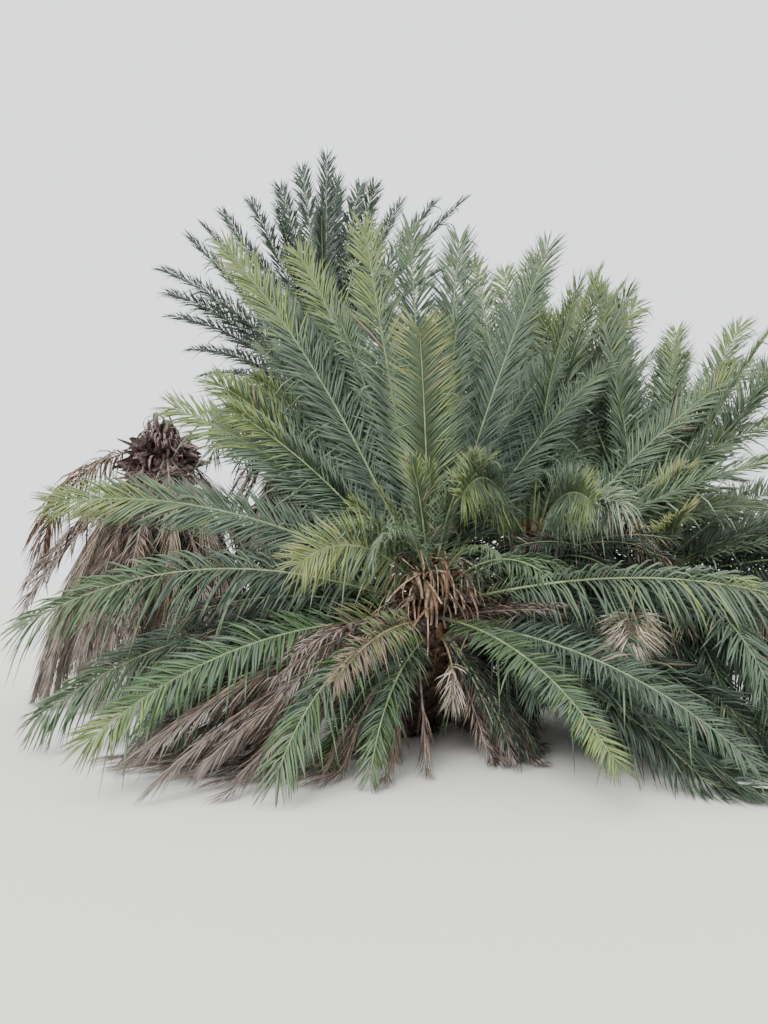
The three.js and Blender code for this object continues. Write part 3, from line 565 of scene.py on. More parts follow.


# The fronds that only the looks have: inner and shaded ones that thicken the crowns, the dim and shade
# kinds dark as painted shade.
FILL_SEED = 200  # seed of a fan's first frond, times the number of the fan
FILL_JITTER = {"heading": 9.0, "rise": 6.0, "length": 0.1, "roll": 35.0}
FILL_LOOSENESS = 2.0  # times the jitter, in a fan of more than one frond
FILL_RISES = (-60, -10, 90)  # slopes in degrees, of fronds seated at these depths
FILL_DEPTHS = (0.98, 0.9, 0.05)  # of the bud's height, from its top
FILLS = (
    Fan("front", "heart_up", (40, 160), (84, 80), (2.0, 2.4), 8, (-60, 60), count=5),
    Fan("front", "rear_fill", (165, 45), (66, 54), (2.8, 2.5), 22, (-50, 40), count=10),
    Fan("front", "left_fill", (172, 150), (48, 58), (2.3, 2.6), 22, -70, count=4, kind=Kind.SUNNY),
    Fan("front", "shade_left", (200, 120), (-4, 26), (1.4, 1.9), 34, -70, count=14, kind=Kind.SHADE),
    Fan("front", "shade_right", (14, 76), (0, 24), (1.3, 1.7), 34, 70, count=14, kind=Kind.SHADE),
    Fan(
        "front", "old_stalks", (-24, 235), (8, 2), (0.9, 1.4), (10, 30),
        count=36, dry=True, kind=Kind.SKIRT,
    ),
    Fan(
        "front", "stalks", (-154, -134), (-6, -20), (2.3, 1.7), (30, 20), -40,
        count=9, dry=True, kind=Kind.LITTER,
    ),
    Fan(
        "front", "left_skirt", (-178, -164), (-10, -6), (2.3, 2.2), 44, -40,
        count=3, kind=Kind.HANGING,
    ),
    Fan("front", "right_skirt", (-4, 16), (-4, -10), (2.3, 2.5), 46, 40, count=4, kind=Kind.DIM),
    Fan("front", "low_left", (-144, -122), (-24, -28), (1.3, 1.2), 44, -30, count=2, kind=Kind.LUSH),
    Fan("front", "dangle", -72, -27, 0.62, 90, 60, bend=1.6, dry=True, kind=Kind.BLEACHED, reach=1.7),
    Fan("front", "tan_fill", -110.5, 3, 1.75, 27, -50, bend=1.6, dry=True, kind=Kind.BURNT, reach=0.75),
    Fan(
        "front", "petticoat", (-52, 232), (-34, -48), (1.2, 1.4), 34,
        bend=0.6, count=16, dry=True, kind=Kind.SKIRT,
    ),
    Fan(
        "front", "drape", (-178, -142), (-20, -31), (2.4, 1.8), 16,
        bend=0.6, count=16, dry=True, kind=Kind.LITTER,
    ),
    Fan(
        "tall", "crown_fill", (0, 330), (70, 56), (1.5, 1.8), 14, (-40, 40),
        count=6, kind=Kind.HIGH,
    ),
    Fan("tall", "tips", (166, 30), (72, 80), (2.25, 2.3), 4, (-70, 40), count=3, kind=Kind.HIGH),
    Fan(
        "tall", "low_fill", (-30, 120), (28, 44), (1.7, 2.0), 30, (-40, 40),
        count=8, kind=Kind.HIGH,
    ),
    Fan(
        "tall", "drooping", (222, 350), (6, -10), (1.7, 2.2), 74, (-40, 40),
        count=11, kind=Kind.SHADE,
    ),
    Fan(
        "tall", "thatch_fill", (205, 500), (-18, -40), (1.7, 2.2), 48,
        bend=0.5, count=24, dry=True, kind=Kind.SKIRT,
    ),
    Fan(
        "middle", "crown_fill", (20, 200), (78, 64), (2.5, 2.7), 18, (40, -30),
        count=7, kind=Kind.HAZY,
    ),
    Fan(
        "middle", "side_fill", (-10, 60), (26, 50), (2.2, 2.6), 30, 40,
        count=8, kind=Kind.HAZY,
    ),
    Fan("middle", "shade", (-10, 200), (0, 26), (1.2, 1.6), 40, (70, -70), count=18, kind=Kind.SHADE),
    Fan(
        "middle", "skirt_fill", (-160, -10), (-4, -20), (1.3, 1.7), 56, (-30, 40),
        count=12, kind=Kind.DIM,
    ),
    Fan(
        "middle", "petticoat", (0, 330), (-38, -48), (1.3, 1.6), 36,
        bend=0.6, count=12, dry=True, kind=Kind.SKIRT,
    ),
    Fan(
        "right", "crown_fill", (-30, 150), (66, 78), (2.3, 2.5), 18, (40, -30),
        count=9, kind=Kind.HAZY,
    ),
    Fan(
        "right", "side_fill", (-50, 80), (20, 46), (2.1, 2.4), 36, 40,
        count=10, kind=Kind.HAZY,
    ),
    Fan("right", "shade", (20, 240), (4, 30), (1.1, 1.6), 40, (70, -70), count=15, kind=Kind.SHADE),
    Fan(
        "right", "skirt_fill", (-176, 4), (-2, -18), (1.5, 2.0), 56, (-30, 40),
        count=20, kind=Kind.DIM,
    ),
    Fan("right", "heart", -112, 8, 1.74, 54, bend=1.6, kind=Kind.HEART, reach=1.7),
    Fan("right", "tuft", -120, 58, 0.75, 60, -60, dry=True, kind=Kind.BLEACHED, reach=3.4),
    Fan("right", "young_fill", -90, 36, 1.0, 18, 30, bend=1.6, kind=Kind.YOUNG, reach=3.0),
    Fan(
        "right", "petticoat", (0, 330), (-38, -48), (1.2, 1.5), 36,
        bend=0.6, count=12, dry=True, kind=Kind.SKIRT,
    ),
    Fan("rear", "crown_fill", (0, 340), (60, 72), (2.3, 2.5), 18, count=10, kind=Kind.HAZY),
    Fan("rear", "low_fill", (-10, 180), (14, 30), (2.2, 2.5), 34, count=8, kind=Kind.HANGING),
    Fan(
        "rear", "petticoat", (0, 330), (-38, -48), (1.5, 1.9), 36,
        bend=0.6, count=10, dry=True, kind=Kind.SKIRT,
    ),
    Fan(
        "dead", "curtain", (156, 395), (-40, -46), (2.35, 2.35), (38, 34),
        bend=0.4, count=26, dry=True, kind=Kind.HANG,
    ),
    Fan(
        "dead", "underskirt", (0, 330), (-55, -65), (1.6, 2.0), 24,
        bend=0.5, count=12, dry=True, kind=Kind.SKIRT,
    ),
    Fan("middle", "hook_fill", -112.7, 39, 2.13, 74, -76, bend=1.6, kind=Kind.HOOK, reach=1.1),
    Fan("middle", "silver_fill", -88, 31, 2.07, 54, 76, bend=1.6, kind=Kind.HOOK, reach=1.1),
    Fan("front", "bent", (-150, -124), (66, 74), 1.0, (130, 160), count=2, kind=Kind.SILVER, reach=1.5),
    Fan(
        "front", "right_low", (-34, -6), (-16, -8), (2.5, 2.9), (34, 44), (0, 50),
        count=6, kind=Kind.DIM,
    ),
    Fan(
        "front", "tangle", (-175, -5), (58, 40), (0.9, 1.2), (60, 80), (-60, 60),
        count=6, kind=Kind.HANGING,
    ),
    Fan("right", "low_shade", (-90, 20), (10, -10), (1.2, 1.7), 30, 60, count=13, kind=Kind.SHADE),
    Fan("middle", "low_shade", (-80, 20), (4, -16), (1.0, 1.5), 30, 60, count=8, kind=Kind.SHADE),
    Fan(
        "right", "side_low", (-40, 10), (16, 0), (2.0, 2.3), (20, 30), 50,
        count=6, kind=Kind.HANGING,
    ),
    Fan(
        "right", "left_shade", (165, 235), (22, -10), (1.0, 1.5), 40, 60,
        count=10, kind=Kind.SHADE,
    ),
    Fan(
        "middle", "right_shade", (-70, 30), (14, 34), (1.1, 1.5), 40, 70,
        count=12, kind=Kind.SHADE,
    ),
    Fan(
        "front", "left_dim", (172, 196), (12, -6), (1.6, 2.2), 34, -60,
        count=9, kind=Kind.SHADE,
    ),
    Fan(
        "dead", "low_dry", (235, 345), (-30, -52), (1.9, 2.3), 24,
        bend=0.5, count=12, dry=True, kind=Kind.SKIRT,
    ),
    Fan(
        "dead", "strands", (250, 300), (-48, -58), (2.2, 2.5), 20,
        bend=0.5, count=10, dry=True, kind=Kind.HANG,
    ),
    Fan(
        "tall", "low_thatch", (190, 300), (-54, -66), (2.5, 3.0), 18,
        bend=0.5, count=14, dry=True, kind=Kind.SKIRT,
    ),
    Fan(
        "front", "hollow", (-58, -30), (-42, -54), (1.0, 1.3), 18,
        bend=0.6, count=4, dry=True, kind=Kind.SKIRT,
    ),
    Fan(
        "front", "under_shade", (-60, -12), (-34, -50), (0.9, 1.2), 24,
        count=10, kind=Kind.SHADE,
    ),
    Fan(
        "middle", "floor_shade", (-125, -30), (-20, -36), (1.4, 1.7), 24, 30,
        count=12, kind=Kind.SHADE,
    ),
    Fan(
        "front", "bud_spray", (-165, -40), (64, 80), (0.8, 1.05), (20, 44), (-50, 50),
        count=6, kind=Kind.SPRAY, reach=1.6,
    ),
    Fan(
        "right", "floor_shade", (-150, 10), (-18, -34), (1.3, 1.6), 24, 30,
        count=12, kind=Kind.SHADE,
    ),
    Fan(
        "middle", "gap_shade", (-44, 6), (2, -12), (1.9, 2.3), 30, 40,
        count=8, kind=Kind.DIM,
    ),
    Fan(
        "right", "tattered", (-100, -52), (10, 0), (1.3, 1.6), 56, 40,
        count=3, kind=Kind.TATTERED,
    ),
)


def frond_curve(
    seat: Array, heading: float, rise: float, length: float, droop: float, bend: float
) -> Array:
    """A midrib's line: equal steps whose slope is rise - droop t ^ bend, resting on the ground.

    Args:
        seat: Where the frond leaves the bud.
        heading: Compass turn in degrees.
        rise: Slope at the seat in degrees.
        length: Length in metres.
        droop: Degrees that the slope has lost at the tip.
        bend: Power of the length that the droop follows.

    Returns:
        The line's points, (FROND_STEPS + 1, 3).
    """
    t = (np.arange(FROND_STEPS) + 0.5) / FROND_STEPS
    slope = math.radians(rise) - math.radians(droop) * t**bend
    flat = math.radians(heading)
    level = np.cos(slope)
    steps = np.stack([level * math.cos(flat), level * math.sin(flat), np.sin(slope)], -1)
    points = np.vstack([seat, seat + np.cumsum(steps * length / FROND_STEPS, axis=0)])
    points[1:, 2] = np.maximum(points[1:, 2], GROUND_REST)
    return points


@dataclass
class Frond:
    """One frond: its values from its fan, then its seed, its seat and its midrib's points."""

    fan: Fan
    heading: float
    rise: float
    length: float
    droop: float
    roll: float
    seed: int = 0
    seat: Array | None = None
    points: Array | None = None

    def sway(self, ranges: dict[str, float], salt: int, looseness: float = 1.0) -> None:
        """Varies heading, rise, length and roll by the frond's own repeatable numbers.

        Args:
            ranges: Their whole ranges, in that order, with the length's as a share.
            salt: Number of the first draw.
            looseness: Factor of the ranges.
        """
        heading, rise, length, roll = (
            size * looseness * wobble(self.seed, salt + i) for i, size in enumerate(ranges.values())
        )
        self.heading += heading
        self.rise += rise
        self.length *= 1 + length
        self.roll += roll

    def curve(self, heading: float, rise: float) -> Array:
        """The midrib's points from the frond's seat, for a heading and a rise in degrees."""
        return frond_curve(self.seat, heading, rise, self.length, self.droop, self.fan.bend)

    def at(self, steps: Array) -> tuple[Array, Array, Array, Array]:
        """The midrib's point and its blade's frame at places along it.

        Args:
            steps: Places in steps of the rule, from 0 to FROND_STEPS.

        Returns:
            Points, and the unit vectors forward, across the blade and above it.
        """
        low = np.clip(np.floor(steps).astype(int), 0, FROND_STEPS - 1)
        share = (steps - low)[:, None]
        points = mix(self.points[low], self.points[low + 1], share)
        tangents = np.gradient(self.points, axis=0)
        forward = unit(mix(tangents[low], tangents[low + 1], share))
        flat = math.radians(self.heading)
        level = np.broadcast_to([-math.sin(flat), math.cos(flat), 0.0], forward.shape)
        twist = math.radians(self.roll) * np.minimum(1, steps / BLADE_START)
        across = unit(turned(level, forward, twist))
        return points, forward, across, np.cross(forward, across)


@dataclass
class Holder:
    """The fronds of one node of the solids."""

    name: str
    at: str
    fronds: list[Frond] = field(default_factory=list)
    rise: float = 0.0
    turn: float = 0.0
    depth: float = 0.0

    @property
    def node(self) -> str:
        """The node's name."""
        return self.name + ("_fronds" if len(self.fronds) > 1 else "_frond")


def line_gap(points: Array, lines: Array) -> float:
    """Least distance from the points of some lines to the stretches of others.

    Args:
        points: Lines whose points are measured, (a, n, 3).
        lines: Lines whose stretches are measured, (b, m, 3), where a or b is 1.

    Returns:
        The least distance.
    """
    start = lines[:, None, :-1]
    step = lines[:, None, 1:] - start
    offset = points[:, :, None] - start
    share = np.clip(np.sum(offset * step, -1) / np.sum(step * step, -1), 0, 1)
    return float(np.sqrt(np.sum((offset - share[..., None] * step) ** 2, -1).min()))


# Small turns that a frond tries in order, as degrees of heading and of rise.
TRIES = [(0.0, 0.0)] + [
    (a * size * TURN_STEP, b * size * TURN_STEP)
    for size in range(1, TURN_STEPS + 1)
    for a, b in TURN_SIGNS
]


class Growth:
    """Lays out, seats and places the fronds by the rule that the solids follow."""

    def __init__(self, fans: Sequence[Fan]) -> None:
        """Lays out one holder for each node of the solids.

        Args:
            fans: The fans, in the order of the solids.
        """
        self.holders: list[Holder] = []
        for fan in fans:
            parts = math.ceil(fan.count / fan.share)
            for i in range(fan.count):
                name = f"{fan.at}_{fan.name}"
                if parts > 1:
                    name += f"_{i * parts // fan.count + 1}"
                if not self.holders or self.holders[-1].name != name:
                    self.holders.append(Holder(name, fan.at))
                self.holders[-1].fronds.append(fan.frond(i))

    def seat(self) -> None:
        """Seats each holder on its bud, the steepest on top, pushed apart where they crowd."""
        for at, stem in STEMS.items():
            own = [holder for holder in self.holders if holder.at == at]
            for holder in own:
                holder.rise = sum(f.rise for f in holder.fronds) / len(holder.fronds)
                north = sum(math.sin(math.radians(f.heading)) for f in holder.fronds)
                east = sum(math.cos(math.radians(f.heading)) for f in holder.fronds)
                holder.turn = math.atan2(north, east)
            order = sorted(own, key=lambda holder: -holder.rise)
            for i, holder in enumerate(order):
                holder.depth = (i + 0.5) / len(order)
            for _ in range(SEAT_PASSES):
                for i, a in enumerate(order):
                    for b in order[i + 1 :]:
                        self._push_apart(a, b, stem)
                for holder in order:
                    holder.depth = min(max(holder.depth, SEAT_LIMITS[0]), SEAT_LIMITS[1])
            for holder in own:
                seat = stem.seat(holder.depth, holder.turn)
                for frond in holder.fronds:
                    frond.seat = seat

    @staticmethod
    def _push_apart(a: Holder, b: Holder, stem: Stem) -> None:
        """Moves two crowded seats apart by a share of what is missing between them.

        Args:
            a: The upper holder.
            b: The lower holder.
            stem: The stem that both are on.
        """
        full = 2 * math.pi
        turn = b.turn - a.turn - full * math.floor((b.turn - a.turn) / full + 0.5)
        drop = (b.depth - a.depth) * stem.bud_height
        gap = math.hypot(turn * stem.bud_foot * SEAT_REACH, drop)
        if gap >= SEAT_SPACING:
            return
        push = SEAT_PUSH * (SEAT_SPACING - gap) / max(gap, 0.001)
        a.turn -= turn * push
        b.turn += turn * push
        a.depth -= drop * push / stem.bud_height
        b.depth += drop * push / stem.bud_height

    def place(self) -> list[Frond]:
        """Places each frond in turn, clear of those before it.

        Returns:
            The fronds in the order of the solids.
        """
        placed: list[Frond] = []
        for holder in self.holders:
            others = [frond.points for frond in placed]
            for frond in holder.fronds:
                frond.seed = len(placed) + 1
                frond.sway(JITTER, 1)
                self._settle(frond, others, holder.at)
                placed.append(frond)
        return placed

    def _settle(self, frond: Frond, others: list[Array], at: str) -> None:
        """Gives a frond the first small turn that keeps it clear, or else the clearest one.

        Args:
            frond: The frond.
            others: Points of the midribs of other holders.
            at: Name of the frond's stem.
        """
        heading, rise = frond.heading, frond.rise
        best = -math.inf
        for turn, lift in TRIES:
            points = frond.curve(heading + turn, rise + lift)
            gap = self._clearance(points, others, at)
            if gap > best:
                best = gap
                frond.points = points
                frond.heading = heading + turn
            if best >= APART:
                break

    @staticmethod
    def _ball(points: Array) -> tuple[Array, float]:
        """Centre of the points' box, and how far the furthest point is from it."""
        centre = (points.min(0) + points.max(0)) / 2
        return centre, float(np.linalg.norm(points - centre, axis=1).max())

    def _clearance(self, points: Array, others: list[Array], at: str) -> float:
        """Distance from a midrib to the other midribs and to the stems.

        Args:
            points: The midrib's points.
            others: Points of the midribs of other holders.
            at: Name of the stem that the frond grows on, which its first steps may touch.

        Returns:
            The least distance, which is infinite where nothing is near.
        """
        gap = math.inf
        centre, radius = self._ball(points)
        near = []
        for other in others:
            other_centre, other_radius = self._ball(other)
            if np.linalg.norm(centre - other_centre) <= radius + other_radius + APART:
                near.append(other)
        if near:
            rest = np.array(near)
            gap = min(gap, line_gap(rest, points[None]), line_gap(points[None], rest))
        levels = np.arange(STEM_LEVELS + 1) / STEM_LEVELS
        for name, stem in STEMS.items():
            z = stem.top * levels
            own = points[FREE_STEPS:] if name == at else points
            reach = np.linalg.norm(own[:, None] - stem.axis(z)[None], axis=-1) - stem.radius(z)
            gap = min(gap, float(reach.min()))
        return gap


def fill_fronds() -> list[Frond]:
    """The fronds that only the looks have, seated straight on their buds, the steeper the higher.

    Returns:
        The fronds, with their points.
    """
    fronds: list[Frond] = []
    for number, fan in enumerate(FILLS, start=1):
        looseness = FILL_LOOSENESS if fan.count > 1 else 0.0
        for i in range(fan.count):
            frond = fan.frond(i)
            frond.seed = FILL_SEED * number + i
            frond.sway(FILL_JITTER, 0, looseness)
            depth = np.interp(frond.rise, FILL_RISES, FILL_DEPTHS)
            frond.seat = STEMS[fan.at].seat(depth, math.radians(frond.heading))
            frond.points = frond.curve(frond.heading, frond.rise)
            fronds.append(frond)
    return fronds


@dataclass
class Shell:
    """Closed lofts: points, side faces (n, rings - 1, k, 4) and end faces (n, ends, 3)."""

    points: Array
    sides: Array
    ends: Array


def loft(rings: Array, tips: Array | None = None) -> Shell:
    """Closed skins over rings of points, each wound so that its faces point outwards.

    A ring is wound clockwise as seen from the next ring. The first ring is closed by a fan, and
    the last one by a fan or by a tip point.

    Args:
        rings: The rings, (n, r, k, 3).
        tips: The tip points, (n, 3), where the lofts end in points.

    Returns:
        The lofts in one shell.
    """
    n, r, k, _ = rings.shape
    each = r * k + (0 if tips is None else 1)
    points = rings.reshape(n, r * k, 3)
    if tips is not None:
        points = np.concatenate([points, tips[:, None]], axis=1)
    base = np.arange(n)[:, None, None] * each
    ring = np.arange(r - 1)[None, :, None] * k
    j = np.arange(k)[None, None, :]
    a = base + ring + j
    b = base + ring + (j + 1) % k
    sides = np.stack([a, a + k, b + k, b], axis=-1)
    fan = np.arange(1, k - 1)
    first = np.stack([np.zeros_like(fan), fan, fan + 1], -1)
    if tips is None:
        last = first[:, ::-1] + (r - 1) * k
    else:
        spokes = np.arange(k)
        last = np.stack([(r - 1) * k + spokes, np.full(k, r * k), (r - 1) * k + (spokes + 1) % k], -1)
    ends = np.concatenate([first, last])[None] + base
    return Shell(points.reshape(-1, 3), sides, ends)


class Skin:
    """The faces of one kind of piece, gathered as whole arrays."""

    def __init__(self) -> None:
        """Starts with no faces."""
        self.parts: list[tuple[Shell, Array, Array]] = []

    def add(self, shell: Shell, side_looks: Array | int, end_looks: Array | int) -> None:
        """Adds a shell.

        Args:
            shell: The lofts.
            side_looks: A look number for each side face, broadcast to (n, rings - 1, k).
            end_looks: A look number for each end face, broadcast to (n, ends).
        """
        sides = np.broadcast_to(side_looks, shell.sides.shape[:3]).ravel()
        ends = np.broadcast_to(end_looks, shell.ends.shape[:2]).ravel()
        self.parts.append((shell, sides, ends))

    @property
    def size(self) -> int:
        """How many triangles the faces make."""
        return sum(2 * len(sides) + len(ends) for _, sides, ends in self.parts)

    def dealt(self, limit: int) -> list["Skin"]:
        """The skin dealt out, shell by shell, to as many skins as keep each under a limit.

        Args:
            limit: Most triangles wanted in one.

        Returns:
            The skins.
        """
        skins = [Skin() for _ in range(math.ceil(self.size / limit))]
        for i, part in enumerate(self.parts):
            skins[i % len(skins)].parts.append(part)
        return skins

    def _faces(self) -> tuple[Array, Array, Array, Array]:
        """Puts all shells in one.

        Returns:
            Points, side faces, end faces, and look numbers of both in turn.
        """
        shells = [shell for shell, _, _ in self.parts]
        offsets = np.concatenate([[0], np.cumsum([len(shell.points) for shell in shells])])
        points = [shell.points for shell in shells]
        quads = [shell.sides.reshape(-1, 4) + start for shell, start in zip(shells, offsets)]
        triangles = [shell.ends.reshape(-1, 3) + start for shell, start in zip(shells, offsets)]
        looks = [sides for _, sides, _ in self.parts] + [ends for _, _, ends in self.parts]
        return tuple(np.concatenate(each) for each in (points, quads, triangles, looks))

    def build(self, name: str, finishes: "Finishes", smooth: bool) -> bpy.types.Object:
        """Makes the mesh object.

        Args:
            name: The piece's name.
            finishes: The materials of the looks.
            smooth: Whether its side faces are shaded smooth.

        Returns:
            The object, linked to the scene.
        """
        points, quads, triangles, looks = self._faces()
        used = np.unique(looks)
        corners = np.concatenate([quads.ravel(), triangles.ravel()]).astype(np.int32)
        starts = np.concatenate([np.arange(len(quads)) * 4, quads.size + np.arange(len(triangles)) * 3])
        mesh = bpy.data.meshes.new(name)
        mesh.vertices.add(len(points))
        mesh.vertices.foreach_set("co", points.astype(np.float32).ravel())
        mesh.loops.add(len(corners))
        mesh.loops.foreach_set("vertex_index", corners)
        mesh.polygons.add(len(starts))
        mesh.polygons.foreach_set("loop_start", starts.astype(np.int32))
        mesh.polygons.foreach_set("material_index", np.searchsorted(used, looks).astype(np.int32))
        if smooth:
            mesh.polygons.foreach_set("use_smooth", np.arange(len(starts)) < len(quads))
        for look in used:
            mesh.materials.append(finishes.material(ORDER[look]))
        mesh.update(calc_edges=True)
        mesh.validate()
        obj = bpy.data.objects.new(name, mesh)
        bpy.context.scene.collection.objects.link(obj)
        return obj


ORDER = list(Look)
NUMBER = {look: i for i, look in enumerate(ORDER)}


@dataclass(frozen=True)
class BladeShape:
    """The outline and fold of a narrow blade.

    Half width at share u of the length is width / 2 times a value read between the stations.
    The blade is folded to a keel, and fold and thickness are shares of the half width. One that
    is not keeled above is flat there, with a face less round it.
    """

    stations: tuple[float, ...] = (0.0, 0.3, 0.68)
    widths: tuple[float, ...] = (0.42, 1.0, 0.72)
    fold: float = 0.42
    thickness: float = 0.16
    keeled: bool = True


LEAFLET = BladeShape()
SHORT_LEAFLET = BladeShape((0.0, 0.42), (0.5, 1.0))
FAR_LEAFLET = BladeShape((0.0, 0.45), (0.5, 1.0), keeled=False)
WING = BladeShape((0.0, 0.3, 0.62, 0.85), (0.7, 1.0, 0.86, 0.5), fold=0.18, thickness=0.05)
FIBRE = BladeShape((0.0, 0.5), (1.0, 0.8), fold=0.2, thickness=0.8)
SPINE = BladeShape((0.0, 0.5), (1.0, 0.7), fold=0.3, thickness=0.8)


def lie_on_ground(points: Array) -> Array:
    """Points with those near or under the ground laid on it, in the same order of height.

    Below the height h where leaves start to lie, z becomes low + (h - low) e^((z - h) / (h - low)).

    Args:
        points: The points, (..., 3).

    Returns:
        A copy with the heights changed.
    """
    room = LYING_FROM - LYING_LOW
    z = points[..., 2]
    laid = LYING_LOW + room * np.exp(np.minimum(z - LYING_FROM, 0) / room)
    out = points.copy()
    out[..., 2] = np.where(z < LYING_FROM, laid, z)
    return out


def blades(
    roots: Array, directions: Array, normals: Array, lengths: Array, widths: Array, bends: Array,
    shape: BladeShape,
) -> Shell:
    """Thin folded blades that end in points, on the lines root + length (u direction + u^2 bend).

    Args:
        roots: Where the blades start, (n, 3).
        directions: Unit directions at their roots, (n, 3).
        normals: Which way their upper sides face, (n, 3).
        lengths: Lengths, (n).
        widths: Greatest widths, (n).
        bends: How far each tip bends away, as a share of the length, (n, 3).
        shape: Their outline and fold.

    Returns:
        The blades. A ring's first side face is its upper side, with the second where it is keeled.
    """
    u = np.array([*shape.stations, 1.0])[None, :, None]
    span = lengths[:, None, None]
    line = roots[:, None] + span * (u * directions[:, None] + u**2 * bends[:, None])
    tangent = unit(directions[:, None] + 2 * u * bends[:, None])
    side = unit(np.cross(tangent, normals[:, None]))
    above = np.cross(side, tangent)
    half = (widths[:, None] / 2 * np.array([*shape.widths, 0.0])[None])[..., None]
    raised = line + above * half * shape.fold
    left = raised + side * half
    right = raised - side * half
    top = line + above * half * shape.thickness / 2
    bottom = line - above * half * shape.thickness / 2
    rings = np.stack([left, top, right, bottom] if shape.keeled else [left, right, bottom], axis=2)
    return loft(lie_on_ground(rings[:, :-1]), lie_on_ground(line[:, -1]))


@dataclass(frozen=True)
class RibbonShape:
    """The section and the bend of a dry strap. Fold and thickness are shares of the half width."""

    steps: int = 12
    bend: float = 1.2  # power of the length that the curl follows
    end: float = 0.35  # width at the end, as a share
    fold: float = 0.35
    thickness: float = 0.12


def ribbons(
    starts: Array, turns: Array, rises: Array, lengths: Array, curls: Array, swirls: Array,
    widths: Array, shape: RibbonShape,
) -> Shell:
    """Straps that curl: the slope is rise - curl s ^ bend and the heading turns by swirl s.

    Args:
        starts: Where the straps start, (n, 3).
        turns: Headings in radians, (n).
        rises: Slopes at the start in radians, (n).
        lengths: Lengths, (n).
        curls: How far the slope turns down by the end, in radians, (n).
        swirls: How far the heading turns by the end, in radians, (n).
        widths: Widths at the start, (n).
        shape: Their section and bend.

    Returns:
        The straps, which narrow to their ends.
    """
    s = (np.arange(shape.steps) + 0.5)[None] / shape.steps
    slope = rises[:, None] - curls[:, None] * s**shape.bend
    flat = turns[:, None] + swirls[:, None] * s
    step = np.stack([np.cos(slope) * np.cos(flat), np.cos(slope) * np.sin(flat), np.sin(slope)], -1)
    step = step * (lengths / shape.steps)[:, None, None]
    travel = np.concatenate([np.zeros_like(step[:, :1]), np.cumsum(step, axis=1)], axis=1)
    line = starts[:, None] + travel
    tangent = unit(np.gradient(line, axis=1))
    level = np.stack([-np.sin(turns), np.cos(turns), np.zeros_like(turns)], -1)[:, None]
    level = square_off(level, tangent)
    above = np.cross(tangent, level)
    taper = mix(1.0, shape.end, np.linspace(0, 1, shape.steps + 1))
    half = (widths[:, None] / 2 * taper)[..., None]
    edge = line + above * half * shape.fold
    thick = above * half * shape.thickness
    rings = np.stack([edge - level * half, line + thick, edge + level * half, line - thick], axis=2)
    return loft(lie_on_ground(rings))


@dataclass(frozen=True)
class LeafletScatter:
    """How far single leaflets stray from their habit. Pairs are the least and greatest factors."""

    fewest: int = 8  # leaflets on one side
    slip: float = 0.35  # of a root along the midrib, in spacings
    last: float = 0.998  # share of the blade at which the last leaflet stands
    length: tuple[float, float] = (0.88, 1.0)
    width: tuple[float, float] = (0.85, 1.1)
    sag: tuple[float, float] = (0.6, 1.25)
    limp: tuple[float, float] = (0.5, 0.9)  # added to the sag of a leaflet that has gone limp
    bend: float = 0.04  # spread of the tips, in lengths
    inset: float = 0.6  # of the midrib's half width, at which the roots stand
    body: float = 0.8  # spread of the body looks along the blade, in looks
    tip: float = 0.1  # spread of the place from which the tip look is dealt
    under: float = 0.75  # share of leaflets that show the habit's underside
    shorten: tuple[float, float] = (0.92, 0.3)  # where shortening starts, and its share at the tip
    close: tuple[float, float] = (0.9, 0.5)  # the same for the leaflets' closing up to the midrib
    limber_sag: float = 0.6  # sag over which all leaflets get the fine shape
    hanging_sag: float = 0.3  # the same, for fronds that aren't fills


@dataclass(frozen=True)
class MidribShape:
    """A midrib's section, and its clasping base that fades by e^-(steps / fade)^2."""

    sides: int = 6
    fade: float = 1.1  # steps over which the base narrows
    spread: float = 0.034  # broader at the base, on each side
    deepen: float = 0.4  # deeper at the base, as a share
    above: float = 0.34  # of the depth over the middle line
    below: float = 0.66  # of the depth under it
    woody: float = 1.6  # steps from the seat that look like old wood
    fine_steps: float = 3.0  # end of the first steps, which are halved


@dataclass(frozen=True)
class SpineRanks:
    """The two ranks of spines on a leaf stalk. Angles are means and spreads in degrees."""

    count: int = 12  # in a rank
    start: float = 1.4  # step of the first
    end: float = BLADE_START + 0.6  # step of the last
    slip: tuple[float, float] = (0.2, 0.8)
    angle: tuple[float, float] = (52, 9)  # from the midrib
    lift: tuple[float, float] = (20, 16)  # out of the blade's plane
    inset: float = 0.7  # of the midrib's half width, at which they stand
    lengths: tuple[float, float] = (0.05, 0.2)
    growth: float = 1.5  # power of the place, by which they lengthen
    vary: tuple[float, float] = (0.8, 1.1)
    width: float = 0.011


